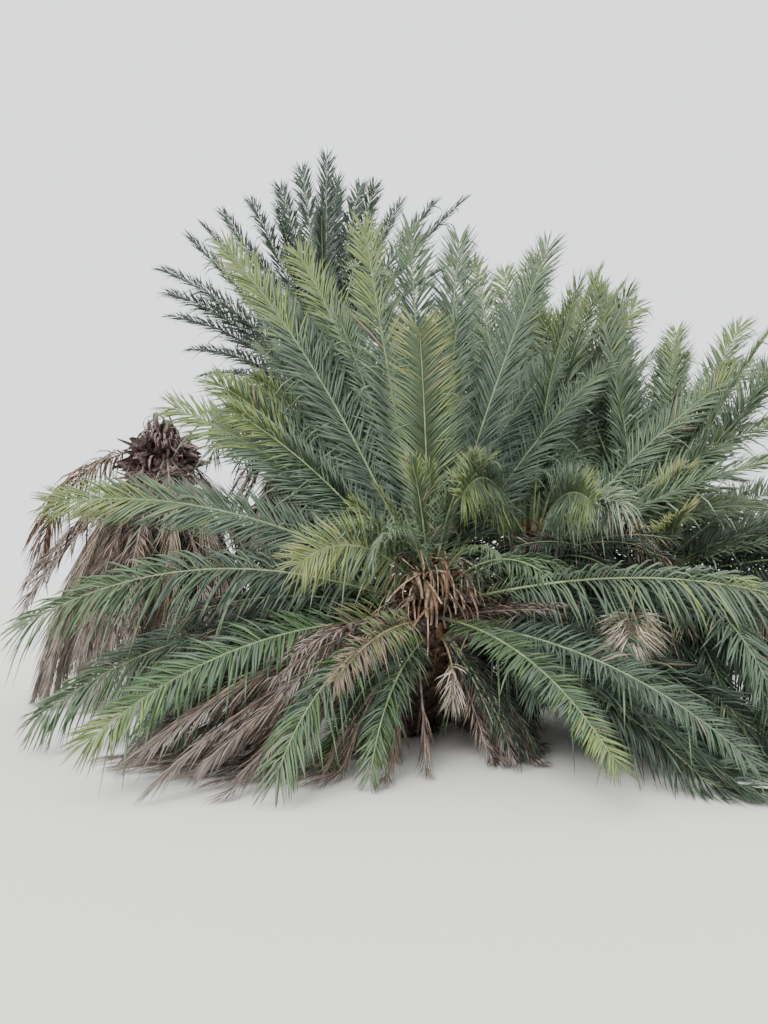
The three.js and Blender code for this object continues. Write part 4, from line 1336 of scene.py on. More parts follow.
@dataclass
class Foliage:
    """Turns a placed frond into a midrib, leaflets and spines."""

    frond: Frond
    scatter: LeafletScatter = LeafletScatter()
    midrib: MidribShape = MidribShape()
    spines: SpineRanks = SpineRanks()

    def __post_init__(self) -> None:
        """Takes the frond's habit and starts its own random numbers."""
        self.habit: Habit = self.frond.fan.kind.value
        self.rng = np.random.default_rng(LEAF_SEED + self.frond.seed)

    @staticmethod
    def _ebb(t: Array, start: float, loss: float) -> Array:
        """1 up to a start, then 1 - loss s^2, where s runs from 0 there to 1 at t = 1."""
        return 1 - loss * np.clip((t - start) / (1 - start), 0, 1) ** 2

    @staticmethod
    def _splayed(
        forward: Array, across: Array, above: Array, side: Array, angle: Array, lift: Array
    ) -> Array:
        """Unit vectors turned from forward to a side, which is itself lifted out of the plane.

        Args:
            forward: Unit vectors along the midrib, (n, 3).
            across: Unit vectors across the blade, (n, 3).
            above: Unit vectors above the blade, (n, 3).
            side: 1 or -1 for the two sides, (n).
            angle: Turns from forward in radians, (n).
            lift: Lifts in radians, (n).

        Returns:
            The vectors, (n, 3).
        """
        out = across * (side * np.cos(lift))[:, None] + above * np.sin(lift)[:, None]
        return unit(forward * np.cos(angle)[:, None] + out * np.sin(angle)[:, None])

    def _leaflet_reach(self, t: Array) -> Array:
        """Leaflet lengths, which make an arch from the blade's start to its tip.

        Args:
            t: Places along the blade, from 0 to 1.

        Returns:
            The lengths there.
        """
        profile = LEAFLET_PROFILE
        arch = np.sin(math.pi * np.minimum(1, profile["start"] + profile["run"] * t))
        share = min(1, self.frond.length / LEAFLET_FULL_FROND * self.frond.fan.reach)
        size = LEAFLET_LENGTH * share * self.habit.reach
        return size * mix(profile["least"], 1, arch) * self._ebb(t, *self.scatter.shorten)

    def add_leaflets(self, skin: Skin) -> None:
        """Adds both sides' leaflets, dealt out in the colours of their habit.

        Args:
            skin: Where the faces go.
        """
        frond, habit, rng, scatter = self.frond, self.habit, self.rng, self.scatter
        blade = frond.length * (1 - BLADE_START / FROND_STEPS) * (1 - habit.bare)
        count = max(int(blade / habit.spacing), scatter.fewest)
        order = np.repeat(np.arange(count), 2)
        side = np.tile([1.0, -1.0], count)
        n = len(order)
        slip = rng.uniform(-scatter.slip, scatter.slip, n)
        t = mix(habit.bare, 1, np.clip((order + 0.5 + slip) / count, 0, scatter.last))
        steps = BLADE_START + t * (FROND_STEPS - BLADE_START)
        roots, forward, across, above = frond.at(steps)
        angle = mix(*habit.angles, t) * self._ebb(t, *scatter.close)
        angle = np.radians(angle + rng.normal(0, habit.scatter, n))
        cycle = (order + rng.integers(0, 2, n)) % len(habit.lifts)
        lift = mix(np.array(habit.lifts)[cycle], np.mean(habit.lifts), t**2)
        lift = np.radians(lift + rng.normal(0, habit.scatter, n))
        direction = self._splayed(forward, across, above, side, angle, lift)
        normal = square_off(above, direction)
        normal = turned(normal, direction, np.radians(rng.normal(0, habit.twist, n)))
        length = self._leaflet_reach(t) * rng.uniform(*scatter.length, n)
        width = habit.width * np.sqrt(length / LEAFLET_LENGTH) * rng.uniform(*scatter.width, n)
        limp = rng.uniform(size=n) < habit.stray
        sag = habit.sag * rng.uniform(*scatter.sag, n) + limp * rng.uniform(*scatter.limp, n)
        bend = -UP[None] * sag[:, None] + rng.normal(0, scatter.bend, (n, 3))
        inset = self._rib_sizes(steps)[0] * scatter.inset
        roots = roots + across * (side * inset)[:, None]
        upper, under = self._deal(t)
        upper = np.where(limp, NUMBER[habit.under], upper)
        for limber in (True, False):
            those = limp == limber
            if not those.any():
                continue
            shape = self._shape(limber)
            faces = [upper, upper, under, under] if shape.keeled else [upper, under, under]
            looks = np.stack(faces, axis=-1)[those, None]
            shell = blades(
                roots[those], direction[those], normal[those], length[those], width[those],
                bend[those], shape,
            )
            skin.add(shell, looks, upper[those, None])

    def _shape(self, limber: bool) -> BladeShape:
        """The leaflets' shape: finer where they hang, plainer on the fronds that only fill.

        Args:
            limber: Whether they have gone limp.

        Returns:
            The shape.
        """
        if limber or self.habit.sag > self.scatter.limber_sag:
            return LEAFLET
        if self.frond.seed >= FILL_SEED:
            return FAR_LEAFLET
        return LEAFLET if self.habit.sag > self.scatter.hanging_sag else SHORT_LEAFLET

    def _deal(self, t: Array) -> tuple[Array, Array]:
        """Look numbers of leaflets' upper and under sides, by place along the blade.

        Args:
            t: Places along the blade, from 0 to 1.

        Returns:
            Look numbers of the upper sides and of the undersides.
        """
        habit, rng, scatter = self.habit, self.rng, self.scatter
        n = len(t)
        body = np.array([NUMBER[look] for look in habit.body])
        place = np.floor(t * len(body) + rng.normal(0, scatter.body, n)).astype(int)
        upper = body[np.clip(place, 0, len(body) - 1)]
        tipped = t + rng.normal(0, scatter.tip, n) > habit.tip_from
        upper = np.where(tipped, NUMBER[habit.tip], upper)
        under = np.where(rng.uniform(size=n) < scatter.under, NUMBER[habit.under], upper)
        burnt = rng.uniform(size=n) < habit.burnt
        return np.where(burnt, NUMBER[Look.TAN], upper), np.where(burnt, NUMBER[Look.STRAW], under)

    @staticmethod
    def _rib_sizes(steps: Array) -> tuple[Array, Array]:
        """Half width and depth of the midrib at places along it, in steps."""
        places = [0, BLADE_START, FROND_STEPS]
        return np.interp(steps, places, RIB_HALF_WIDTH), np.interp(steps, places, RIB_DEPTH)

    def add_rib(self, skin: Skin) -> None:
        """Adds the midrib: a bar flat above and round below, with a broad, clasping base.

        Args:
            skin: Where the faces go.
        """
        frond, shape = self.frond, self.midrib
        fine = np.arange(0, shape.fine_steps + 0.5, 0.5)
        steps = np.concatenate([fine, np.arange(shape.fine_steps + 1, FROND_STEPS, 2)])
        points, _, across, above = frond.at(steps)
        half, depth = self._rib_sizes(steps)
        base = np.exp(-((steps / shape.fade) ** 2))
        half = half + shape.spread * base
        depth = depth * (1 + shape.deepen * base)
        a = -2 * math.pi * np.arange(shape.sides) / shape.sides
        wide = np.cos(a)
        deep = np.where(np.sin(a) > 0, shape.above, shape.below) * np.sin(a)
        rings = (
            points[:, None]
            + across[:, None] * (half[:, None] * wide)[..., None]
            + above[:, None] * (depth[:, None] * deep)[..., None]
        )
        rib = NUMBER[self.habit.rib]
        woody = (steps[:-1] < shape.woody) & (not frond.fan.dry)
        looks = np.where(woody, NUMBER[Look.RIB_OLD], rib)
        skin.add(loft(rings[None], frond.points[-1:]), looks[None, :, None], rib)

    def add_spines(self, skin: Skin) -> None:
        """Adds the spines of the leaf stalk, two ranks that grow longer towards the blade.

        Args:
            skin: Where the faces go.
        """
        ranks, rng = self.spines, self.rng
        order = np.repeat(np.arange(ranks.count), 2)
        side = np.tile([1.0, -1.0], ranks.count)
        n = len(order)
        t = (order + rng.uniform(*ranks.slip, n)) / ranks.count
        steps = mix(ranks.start, ranks.end, t)
        roots, forward, across, above = self.frond.at(steps)
        angle = np.radians(rng.normal(*ranks.angle, n))
        lift = np.radians(rng.normal(*ranks.lift, n))
        direction = self._splayed(forward, across, above, side, angle, lift)
        inset = self._rib_sizes(steps)[0] * ranks.inset
        roots = roots + across * (side * inset)[:, None]
        length = mix(*ranks.lengths, t**ranks.growth) * rng.uniform(*ranks.vary, n)
        width = np.full(n, ranks.width)
        shell = blades(roots, direction, above, length, width, np.zeros((n, 3)), SPINE)
        skin.add(shell, NUMBER[self.habit.rib], NUMBER[self.habit.rib])


@dataclass(frozen=True)
class Finish:
    """A surface finish."""

    colour: tuple[int, int, int]  # red, green and blue as shown on a display, from 0 to 255
    roughness: float  # the shader's roughness
    worn: tuple[int, int, int] | None = None  # the display colour of worn patches
    scale: float = 30.0  # size of the pattern, as cells in a metre
    stretch: float = 1.0  # how much longer the pattern is along Z than across
    relief: float = 0.001  # depth of the pattern, in metres
    specular: float = 0.35  # the shader's specular level


FINISHES = {
    # the darkest green is painted shade, for the backlit, dim and shade kinds
    Look.DEEP: Finish((58, 70, 60), 0.5),
    Look.SLATE: Finish((70, 84, 71), 0.48),
    Look.GREY: Finish((83, 100, 81), 0.46),
    Look.SAGE: Finish((101, 118, 90), 0.46),
    Look.FRESH: Finish((78, 102, 66), 0.42),
    Look.LIME: Finish((116, 132, 80), 0.44),
    Look.GOLD: Finish((134, 142, 90), 0.5),
    Look.PALE: Finish((134, 150, 124), 0.55),
    Look.STRAW: Finish((164, 150, 122), 0.7),
    Look.TAN: Finish((138, 120, 102), 0.75),
    Look.ASH: Finish((144, 133, 125), 0.8),
    # dry leaf brown, also used as painted shade on the shade fronds and round the buds
    Look.UMBER: Finish((82, 70, 64), 0.8),
    Look.RUST: Finish((122, 96, 78), 0.78),
    Look.BLEACHED: Finish((206, 194, 180), 0.75),
    Look.RIB: Finish((128, 142, 104), 0.4, (108, 122, 86), 14.0, 1.0, 0.0008),
    Look.RIB_OLD: Finish((142, 130, 94), 0.55, (112, 94, 70), 18.0, 1.0, 0.0012),
    Look.RIB_DRY: Finish((136, 122, 110), 0.7, (98, 84, 78), 16.0, 1.0, 0.0012),
    Look.BARK: Finish((80, 68, 60), 0.9, (54, 44, 38), 22.0, 1.6, 0.006, 0.2),
    Look.BOOT: Finish((110, 90, 72), 0.85, (72, 56, 44), 26.0, 3.0, 0.003, 0.2),
    Look.SHEATH: Finish((136, 106, 82), 0.85, (94, 72, 60), 60.0, 4.0, 0.003, 0.2),
    Look.STRAP: Finish((178, 158, 132), 0.7, (120, 98, 82), 34.0, 2.0, 0.002, 0.25),
    Look.HUSK: Finish((78, 60, 60), 0.7, (140, 120, 114), 40.0, 2.0, 0.002, 0.3),
}


def linear(colour: tuple[int, int, int]) -> tuple[float, float, float, float]:
    """A display colour in the linear values that the shader takes, by the displays' usual curve.

    Args:
        colour: Red, green and blue from 0 to 255.

    Returns:
        The linear values and an alpha of 1.
    """
    c = np.array(colour) / 255
    value = np.where(c <= 0.04045, c / 12.92, ((c + 0.055) / 1.055) ** 2.4)
    return (*value.tolist(), 1.0)


class Weathering:
    """The shader group that every finish shares: patches of wear, and relief.

    Noise at the group's scale is sharpened to a mask that mixes the fresh colour to the worn one,
    and a finer noise is added to it as height.
    """

    NAME = "weathering"
    INPUTS = {"Vector": "Vector", "Fresh": "Color", "Worn": "Color", "Scale": "Float"}
    OUTPUTS = {"Colour": "Color", "Height": "Float"}
    PATCH_DETAIL = 3.0
    PATCH_EDGES = (0.38, 0.62)  # of the noise, between which fresh turns to worn
    GRAIN_DETAIL = 4.0
    GRAIN_SCALE = 4.0  # times the group's scale

    @classmethod
    def tree(cls) -> bpy.types.NodeTree:
        """The group's node tree, built when it is first asked for."""
        made = bpy.data.node_groups.get(cls.NAME)
        return made if made else cls._build()

    @classmethod
    def _build(cls) -> bpy.types.NodeTree:
        """Builds the group's sockets and nodes.

        Returns:
            The node tree.
        """
        tree = bpy.data.node_groups.new(cls.NAME, "ShaderNodeTree")
        for way, sockets in (("INPUT", cls.INPUTS), ("OUTPUT", cls.OUTPUTS)):
            for name, kind in sockets.items():
                tree.interface.new_socket(name, in_out=way, socket_type=f"NodeSocket{kind}")
        inside = tree.nodes.new("NodeGroupInput")
        outside = tree.nodes.new("NodeGroupOutput")
        patches = tree.nodes.new("ShaderNodeTexNoise")
        patches.inputs["Detail"].default_value = cls.PATCH_DETAIL
        sharpen = tree.nodes.new("ShaderNodeMapRange")
        sharpen.interpolation_type = "SMOOTHSTEP"
        sharpen.inputs["From Min"].default_value = cls.PATCH_EDGES[0]
        sharpen.inputs["From Max"].default_value = cls.PATCH_EDGES[1]
        blend = tree.nodes.new("ShaderNodeMix")
        blend.data_type = "RGBA"
        finer = tree.nodes.new("ShaderNodeMath")
        finer.operation = "MULTIPLY"
        finer.inputs[1].default_value = cls.GRAIN_SCALE
        grain = tree.nodes.new("ShaderNodeTexNoise")
        grain.inputs["Detail"].default_value = cls.GRAIN_DETAIL
        height = tree.nodes.new("ShaderNodeMath")
        height.operation = "ADD"
        wires = (
            (inside, "Vector", patches, "Vector"),
            (inside, "Scale", patches, "Scale"),
            (patches, "Fac", sharpen, "Value"),
            (sharpen, "Result", blend, "Factor"),
            (inside, "Fresh", blend, "A"),
            (inside, "Worn", blend, "B"),
            (inside, "Scale", finer, 0),
            (inside, "Vector", grain, "Vector"),
            (finer, "Value", grain, "Scale"),
            (grain, "Fac", height, 0),
            (patches, "Fac", height, 1),
            (blend, "Result", outside, "Colour"),
            (height, "Value", outside, "Height"),
        )
        for start, output, end, into in wires:
            tree.links.new(start.outputs[output], end.inputs[into])
        return tree


class Finishes:
    """The materials of the looks, each built when it is first asked for."""

    def __init__(self) -> None:
        """Starts with no material."""
        self.made: dict[Look, bpy.types.Material] = {}

    def material(self, look: Look) -> bpy.types.Material:
        """The material of a look.

        Args:
            look: The look.

        Returns:
            The material.
        """
        if look not in self.made:
            self.made[look] = self._build(look)
        return self.made[look]

    @staticmethod
    def _build(look: Look) -> bpy.types.Material:
        """Builds a material: a plain base colour with relief, or worn patches with relief.

        Args:
            look: The look.

        Returns:
            The material.
        """
        finish = FINISHES[look]
        material = bpy.data.materials.new(look.value)
        material.use_nodes = True
        nodes, link = material.node_tree.nodes, material.node_tree.links.new
        shader = nodes["Principled BSDF"]
        shader.inputs["Base Color"].default_value = linear(finish.colour)
        shader.inputs["Roughness"].default_value = finish.roughness
        shader.inputs["Specular IOR Level"].default_value = finish.specular
        place = nodes.new("ShaderNodeTexCoord")
        mapping = nodes.new("ShaderNodeMapping")
        mapping.inputs["Scale"].default_value = (1.0, 1.0, 1.0 / finish.stretch)
        group = nodes.new("ShaderNodeGroup")
        group.node_tree = Weathering.tree()
        group.inputs["Fresh"].default_value = linear(finish.colour)
        group.inputs["Worn"].default_value = linear(finish.worn or finish.colour)
        group.inputs["Scale"].default_value = finish.scale
        bump = nodes.new("ShaderNodeBump")
        bump.inputs["Distance"].default_value = finish.relief
        link(place.outputs["Object"], mapping.inputs["Vector"])
        link(mapping.outputs["Vector"], group.inputs["Vector"])
        link(group.outputs["Height"], bump.inputs["Height"])
        link(bump.outputs["Normal"], shader.inputs["Normal"])
        if finish.worn:
            link(group.outputs["Colour"], shader.inputs["Base Color"])
        return material


@dataclass
class Trunk:
    """One stem: its body with scaly relief, and the places that its dressing grows from."""

    stem: Stem  # the stem of the rule
    around: int = 72  # points in a ring
    rise: float = 0.025  # height between rings
    row_height: float = 0.085  # height of a row of shed leaf bases
    scales: int = 9  # leaf bases in a row
    depth: float = 0.022  # how far a leaf base stands out
    closing: float = 0.5  # radius of the last ring, as a share of the bud's
    slip: float = 0.12  # how far a place strays round the stem, in radians

    def __post_init__(self) -> None:
        """Starts the stem's own random numbers."""
        self.rng = np.random.default_rng(sum(map(ord, self.stem.name)))

    def add_body(self, skin: Skin) -> None:
        """Adds the body: level rings with the relief of rows of shed leaf bases.

        The relief is a ramp in rows: each scale stands out by depth times its share of the row's
        height, times 1 - its squared distance from the scale's middle.

        Args:
            skin: Where the faces go.
        """
        stem = self.stem
        levels = np.linspace(0, stem.top, int(stem.top / self.rise))
        turn = -2 * math.pi * np.arange(self.around) / self.around
        row = levels[:, None] / self.row_height + turn[None] / (2 * math.pi)
        column = turn[None] * self.scales / (2 * math.pi) + 0.5 * np.floor(row)
        ramp = row - np.floor(row)
        middle = 2 * np.abs(column - np.floor(column) - 0.5)
        relief = self.depth * ramp * (1 - middle**2)
        radius = stem.radius(levels)[:, None] - self.depth / 2 + relief
        outward = level_units(turn)
        rings = stem.axis(levels)[:, None] + outward[None] * radius[..., None]
        rings[-1] = stem.axis(levels[-1]) + outward * stem.bud_top * self.closing
        skin.add(loft(rings[None]), NUMBER[Look.BARK], NUMBER[Look.BARK])

    def spots(self, count: int, low: float, high: float) -> tuple[Array, Array, Array, Array]:
        """Places in a spiral up the stem.

        Args:
            count: How many.
            low: Height of the first.
            high: Height of the last.

        Returns:
            Points on the stem's surface, unit vectors outwards, up along the stem and round it.
        """
        z = np.linspace(low, high, count)
        turn = GOLDEN_TURN * np.arange(count) + self.rng.uniform(-self.slip, self.slip, count)
        up = self.stem.tangent(z)
        outward = square_off(level_units(turn), up)
        points = self.stem.axis(z) + outward * self.stem.radius(z)[:, None]
        return points, outward, up, np.cross(up, outward)


class Level(Enum):
    """Heights on a stem, from which the stretches that are dressed are measured."""

    GROUND = "ground"
    BUD = "bottom of the bud"
    CROWN = "middle of the bud"
    TOP = "top of the bud"

    def on(self, stem: Stem) -> float:
        """The level's height on a stem."""
        heights = (0.0, stem.bud_bottom, stem.crown[2], stem.top)
        return dict(zip(Level, heights))[self]


@dataclass(frozen=True)
class Stretch:
    """A part of a stem, from a height over one level to a height over another."""

    low: Level
    over_low: float
    high: Level
    over_high: float

    def on(self, stem: Stem) -> tuple[float, float]:
        """The heights of both ends on a stem."""
        return self.low.on(stem) + self.over_low, self.high.on(stem) + self.over_high


@dataclass(frozen=True)
class Tongues:
    """Old leaf bases in a spiral, thick tongues that lean out and end cut off."""

    look: Look  # their look
    where: Stretch  # the part of the stem that they stand on
    spacing: float  # height from one to the next
    lengths: tuple[float, float]  # of the lowest and the highest
    leans: tuple[float, float]  # degrees that they lean out from the stem's line, lowest to highest
    width: float  # half width at the middle
    vary_length: tuple[float, float] = (0.75, 1.15)  # least and greatest random factor of the length
    vary_width: tuple[float, float] = (0.85, 1.15)  # the same of the width
    lean_spread: float = 5.0  # spread of the leans, in degrees
    ragged: float = 0.2  # how far a point of the section strays, as a share
    sunk: float = 0.045  # how deep they start in the stem
    lowered: float = 0.02  # how far they start before their place, along their own line
    sides: int = 6  # points round the section
    stations: tuple[float, ...] = (0.0, 0.35, 0.75, 1.0)  # places along the length, as shares
    wide: tuple[float, ...] = (1.25, 1.0, 0.8, 0.62)  # half width at the stations, as a share
    deep: tuple[float, ...] = (0.3, 0.34, 0.26, 0.16)  # half thickness there, as a share

    def add(self, trunk: Trunk, skin: Skin) -> None:
        """Adds the leaf bases of one stem.

        Args:
            trunk: The stem.
            skin: Where the faces go.
        """
        rng = trunk.rng
        low, high = self.where.on(trunk.stem)
        count = int((high - low) / self.spacing)
        points, outward, up, around = trunk.spots(count, low, high)
        share = np.linspace(0, 1, count)
        length = mix(*self.lengths, share**2) * rng.uniform(*self.vary_length, count)
        half = self.width * rng.uniform(*self.vary_width, count)
        lean = np.radians(mix(*self.leans, share) + rng.normal(0, self.lean_spread, count))
        direction = up * np.cos(lean)[:, None] + outward * np.sin(lean)[:, None]
        above = np.cross(around, direction)
        u = np.array(self.stations)
        a = 2 * math.pi * np.arange(self.sides) / self.sides
        start = points - outward * self.sunk - direction * self.lowered
        line = start[:, None] + direction[:, None] * (u[None] * length[:, None])[..., None]
        wide = half[:, None] * np.array(self.wide)[None]
        deep = half[:, None] * np.array(self.deep)[None]
        across = wide[..., None, None] * np.cos(a)[None, None, :, None]
        thick = deep[..., None, None] * np.sin(a)[None, None, :, None]
        ragged = 1 + rng.uniform(-self.ragged, self.ragged, (count, len(u), self.sides, 1))
        section = around[:, None, None] * across + above[:, None, None] * thick
        rings = line[:, :, None] + section * ragged
        skin.add(loft(lie_on_ground(rings)), NUMBER[self.look], NUMBER[self.look])


@dataclass(frozen=True)
class Sheaths:
    """The fibrous sheaths between the leaf bases, broad ragged wings that curl out."""

    count: int  # how many
    looks: tuple[Look, Look]  # the two looks that they take
    length: float = 0.34  # their middling length
    leans: tuple[float, float] = (18.0, 60.0)  # their turn off the stem's line, in degrees
    where: Stretch = Stretch(Level.BUD, -0.15, Level.TOP, -0.12)  # where they grow
    stray: float = 0.35  # spread of their turn round the stem, as a share of their direction
    vary_length: tuple[float, float] = (0.6, 1.2)  # least and greatest random factor of the length
    widths: tuple[float, float] = (0.07, 0.14)  # least and greatest width
    bend_out: float = 0.3  # greatest bend outwards, in lengths
    hang: float = 0.35  # greatest bend downwards, in lengths
    sunk: float = 0.03  # how deep they start in the stem
    first: float = 0.6  # share of them that takes the first look

    def add(self, trunk: Trunk, skin: Skin) -> None:
        """Adds the sheaths of one stem.

        Args:
            trunk: The stem.
            skin: Where the faces go.
        """
        rng, count = trunk.rng, self.count
        points, outward, up, around = trunk.spots(count, *self.where.on(trunk.stem))
        lean = np.radians(rng.uniform(*self.leans, count))
        stray = rng.normal(0, self.stray, count)[:, None]
        direction = unit(up * np.cos(lean)[:, None] + outward * np.sin(lean)[:, None] + around * stray)
        lengths = self.length * rng.uniform(*self.vary_length, count)
        widths = rng.uniform(*self.widths, count)
        out = outward * rng.uniform(0, self.bend_out, count)[:, None]
        bends = out - UP * rng.uniform(0, self.hang, count)[:, None]
        start = points - outward * self.sunk
        shell = blades(start, direction, outward, lengths, widths, bends, WING)
        first, second = (NUMBER[look] for look in self.looks)
        look = np.where(rng.uniform(size=count) < self.first, first, second)
        skin.add(shell, look[:, None, None], look[:, None])


@dataclass(frozen=True)
class Straps:
    """Dry straps that curl out of the crown."""

    look: Look  # their look
    count: int  # how many
    where: Stretch  # the part of the stem that they grow from
    length: float  # greatest length
    curl: tuple[float, float]  # least and greatest turn from start to end, in degrees
    width: float = 0.03  # width at the start
    shape: RibbonShape = RibbonShape()  # their section and bend
    stray: float = 0.3  # spread of their headings, in radians
    rises: tuple[float, float] = (5, 65)  # least and greatest slope at the start, in degrees
    vary_length: tuple[float, float] = (0.45, 1)  # least and greatest random factor of the length
    swirl: float = 0.7  # spread of the turn of their headings by the end, in radians
    vary_width: tuple[float, float] = (0.6, 1.2)  # least and greatest random factor of the width
    sunk: float = 0.03  # how deep they start in the stem

    def add(self, trunk: Trunk, skin: Skin) -> None:
        """Adds the straps of one stem.

        Args:
            trunk: The stem.
            skin: Where the faces go.
        """
        rng, count = trunk.rng, self.count
        points, outward, _, _ = trunk.spots(count, *self.where.on(trunk.stem))
        turns = np.arctan2(outward[:, 1], outward[:, 0]) + rng.normal(0, self.stray, count)
        rises = np.radians(rng.uniform(*self.rises, count))
        lengths = self.length * rng.uniform(*self.vary_length, count)
        curls = np.radians(rng.uniform(*self.curl, count))
        swirls = rng.normal(0, self.swirl, count)
        widths = self.width * rng.uniform(*self.vary_width, count)
        start = points - outward * self.sunk
        shell = ribbons(start, turns, rises, lengths, curls, swirls, widths, self.shape)
        skin.add(shell, NUMBER[self.look], NUMBER[self.look])


@dataclass(frozen=True)
class Fibres:
    """The loose fibres of the sheaths."""

    count: int  # how many
    where: Stretch = Stretch(Level.BUD, -0.2, Level.TOP, -0.1)  # where they grow
    stray: float = 0.6  # spread of their direction along the stem and round it
    outward: float = 0.6  # share of their direction that points outwards
    hang: tuple[float, float] = (0.1, 0.6)  # least and greatest bend downwards, in lengths
    lengths: tuple[float, float] = (0.1, 0.28)  # least and greatest length
    width: float = 0.006  # their width
    sunk: float = 0.02  # how deep they start in the stem

    def add(self, trunk: Trunk, skin: Skin) -> None:
        """Adds the fibres of one stem.

        Args:
            trunk: The stem.
            skin: Where the faces go.
        """
        rng, count = trunk.rng, self.count
        points, outward, up, around = trunk.spots(count, *self.where.on(trunk.stem))
        stray = rng.normal(0, self.stray, (count, 2))
        direction = unit(outward * self.outward + up * stray[:, :1] + around * stray[:, 1:])
        bends = -UP * rng.uniform(*self.hang, count)[:, None]
        lengths = rng.uniform(*self.lengths, count)
        widths = np.full(count, self.width)
        shell = blades(points - outward * self.sunk, direction, up, lengths, widths, bends, FIBRE)
        skin.add(shell, NUMBER[Look.SHEATH], NUMBER[Look.SHEATH])


Dressing = Tongues | Sheaths | Straps | Fibres

BOOTS = Tongues(
    Look.BOOT, Stretch(Level.GROUND, 0.06, Level.BUD, 0.1), 0.016, (0.11, 0.2), (20, 34), 0.052
)
HEAD = Stretch(Level.BUD, -0.05, Level.TOP, -0.02)
DEAD_HEAD = (
    Straps(Look.HUSK, 130, HEAD, 0.5, (-330, -150), 0.06),
    Straps(Look.HUSK, 110, HEAD, 0.46, (150, 360), 0.055),
    Sheaths(90, (Look.HUSK, Look.UMBER), 0.34, (40, 110)),
    Fibres(120),
)
FRONT_CROWN = (
    Tongues(
        Look.SHEATH, Stretch(Level.BUD, -0.15, Level.CROWN, 0.1), 0.012, (0.14, 0.26), (50, 26), 0.024
    ),
    Tongues(Look.RIB, Stretch(Level.CROWN, 0.0, Level.TOP, -0.03), 0.012, (0.2, 0.5), (52, 14), 0.015),
    Sheaths(44, (Look.SHEATH, Look.STRAP)),
    # dark umber sheaths and straps round the bud: dead leaf bases, partly painted shade in the gaps
    # behind the bud
    Sheaths(40, (Look.UMBER, Look.SHEATH), 0.26, (40, 100)),
    Straps(Look.UMBER, 130, Stretch(Level.BUD, -0.15, Level.CROWN, 0.05), 0.6, (30, 130), 0.04),
    Straps(Look.STRAP, 150, Stretch(Level.CROWN, -0.1, Level.CROWN, 0.26), 0.75, (50, 190)),
    Straps(Look.STRAP, 50, Stretch(Level.CROWN, 0.0, Level.CROWN, 0.27), 0.55, (80, 190), 0.07),
    Straps(Look.SHEATH, 60, Stretch(Level.CROWN, -0.1, Level.CROWN, 0.24), 0.6, (60, 220), 0.05),
    Fibres(320),
)
LIVE_CROWN = (
    Tongues(
        Look.RIB_OLD, Stretch(Level.BUD, -0.15, Level.CROWN, 0.1), 0.014, (0.16, 0.34), (44, 24), 0.022
    ),
    # dark umber sheaths and straps round the bud: dead leaf bases, partly painted shade in the gaps
    # behind the bud
    Sheaths(40, (Look.UMBER, Look.SHEATH), 0.26, (40, 100)),
    Straps(Look.UMBER, 90, Stretch(Level.BUD, -0.15, Level.CROWN, 0.05), 0.6, (30, 150), 0.04),
    Sheaths(12, (Look.SHEATH, Look.STRAP)),
    Straps(Look.STRAP, 26, Stretch(Level.BUD, -0.15, Level.CROWN, 0.12), 0.7, (60, 210)),
    Fibres(160),
)
CROWNS: dict[str, tuple[Dressing, ...]] = {"dead": DEAD_HEAD, "front": FRONT_CROWN}


@dataclass(frozen=True)
class Studio:
    """The pale floor, the soft light and the camera."""

    eye: tuple[float, float, float] = (0.30, -8.0, 1.5)  # where the camera stands
    pitch: float = 3.5  # degrees that it looks above level
    photo_height: int = 1024  # height of the photograph in pixels
    focal_pixels: int = 787  # the camera's focal length in the same pixels
    sensor: float = 36.0  # width of the sensor in millimetres
    sight: float = 300.0  # how far the camera sees
    floor_half: float = 60.0  # half the floor's side
    floor_colour: tuple[int, int, int] = (226, 224, 218)  # the floor's display colour
    floor_roughness: float = 0.9  # the roughness of its shader
    sky_colour: tuple[float, float, float, float] = (0.95, 0.97, 1.0, 1.0)  # colour of the surround
    sky_strength: float = 1.9  # strength of the surround
    sun_strength: float = 3.0  # strength of the broad light
    sun_width: float = 30.0  # degrees across which it comes
    sun_turn: tuple[float, float] = (42.0, -28.0)  # its turns about X and Y, in degrees

    def set_camera(self) -> None:
        """Sets the camera at the photograph's viewing angle."""
        data = bpy.data.cameras.new("camera")
        data.sensor_width = self.sensor
        data.lens = self.sensor * self.focal_pixels / self.photo_height
        data.clip_end = self.sight
        camera = bpy.data.objects.new("camera", data)
        camera.location = self.eye
        camera.rotation_euler = (math.radians(90 + self.pitch), 0.0, 0.0)
        bpy.context.scene.collection.objects.link(camera)
        bpy.context.scene.camera = camera

    def set_floor(self) -> None:
        """Lays the pale floor."""
        half = self.floor_half
        mesh = bpy.data.meshes.new("floor")
        corners = [(-half, -half, 0.0), (half, -half, 0.0), (half, half, 0.0), (-half, half, 0.0)]
        mesh.from_pydata(corners, [], [(0, 1, 2, 3)])
        material = bpy.data.materials.new("pale_floor")
        material.use_nodes = True
        shader = material.node_tree.nodes["Principled BSDF"]
        shader.inputs["Base Color"].default_value = linear(self.floor_colour)
        shader.inputs["Roughness"].default_value = self.floor_roughness
        mesh.materials.append(material)
        floor = bpy.data.objects.new("floor", mesh)
        bpy.context.scene.collection.objects.link(floor)

    def set_light(self) -> None:
        """Sets the pale surround and one broad, soft light from the front left."""
        world = bpy.data.worlds.new("surround")
        world.use_nodes = True
        sky = world.node_tree.nodes["Background"]
        sky.inputs["Color"].default_value = self.sky_colour
        sky.inputs["Strength"].default_value = self.sky_strength
        bpy.context.scene.world = world
        data = bpy.data.lights.new("key", "SUN")
        data.energy = self.sun_strength
        data.angle = math.radians(self.sun_width)
        key = bpy.data.objects.new("key", data)
        key.rotation_euler = (*np.radians(self.sun_turn), 0.0)
        bpy.context.scene.collection.objects.link(key)


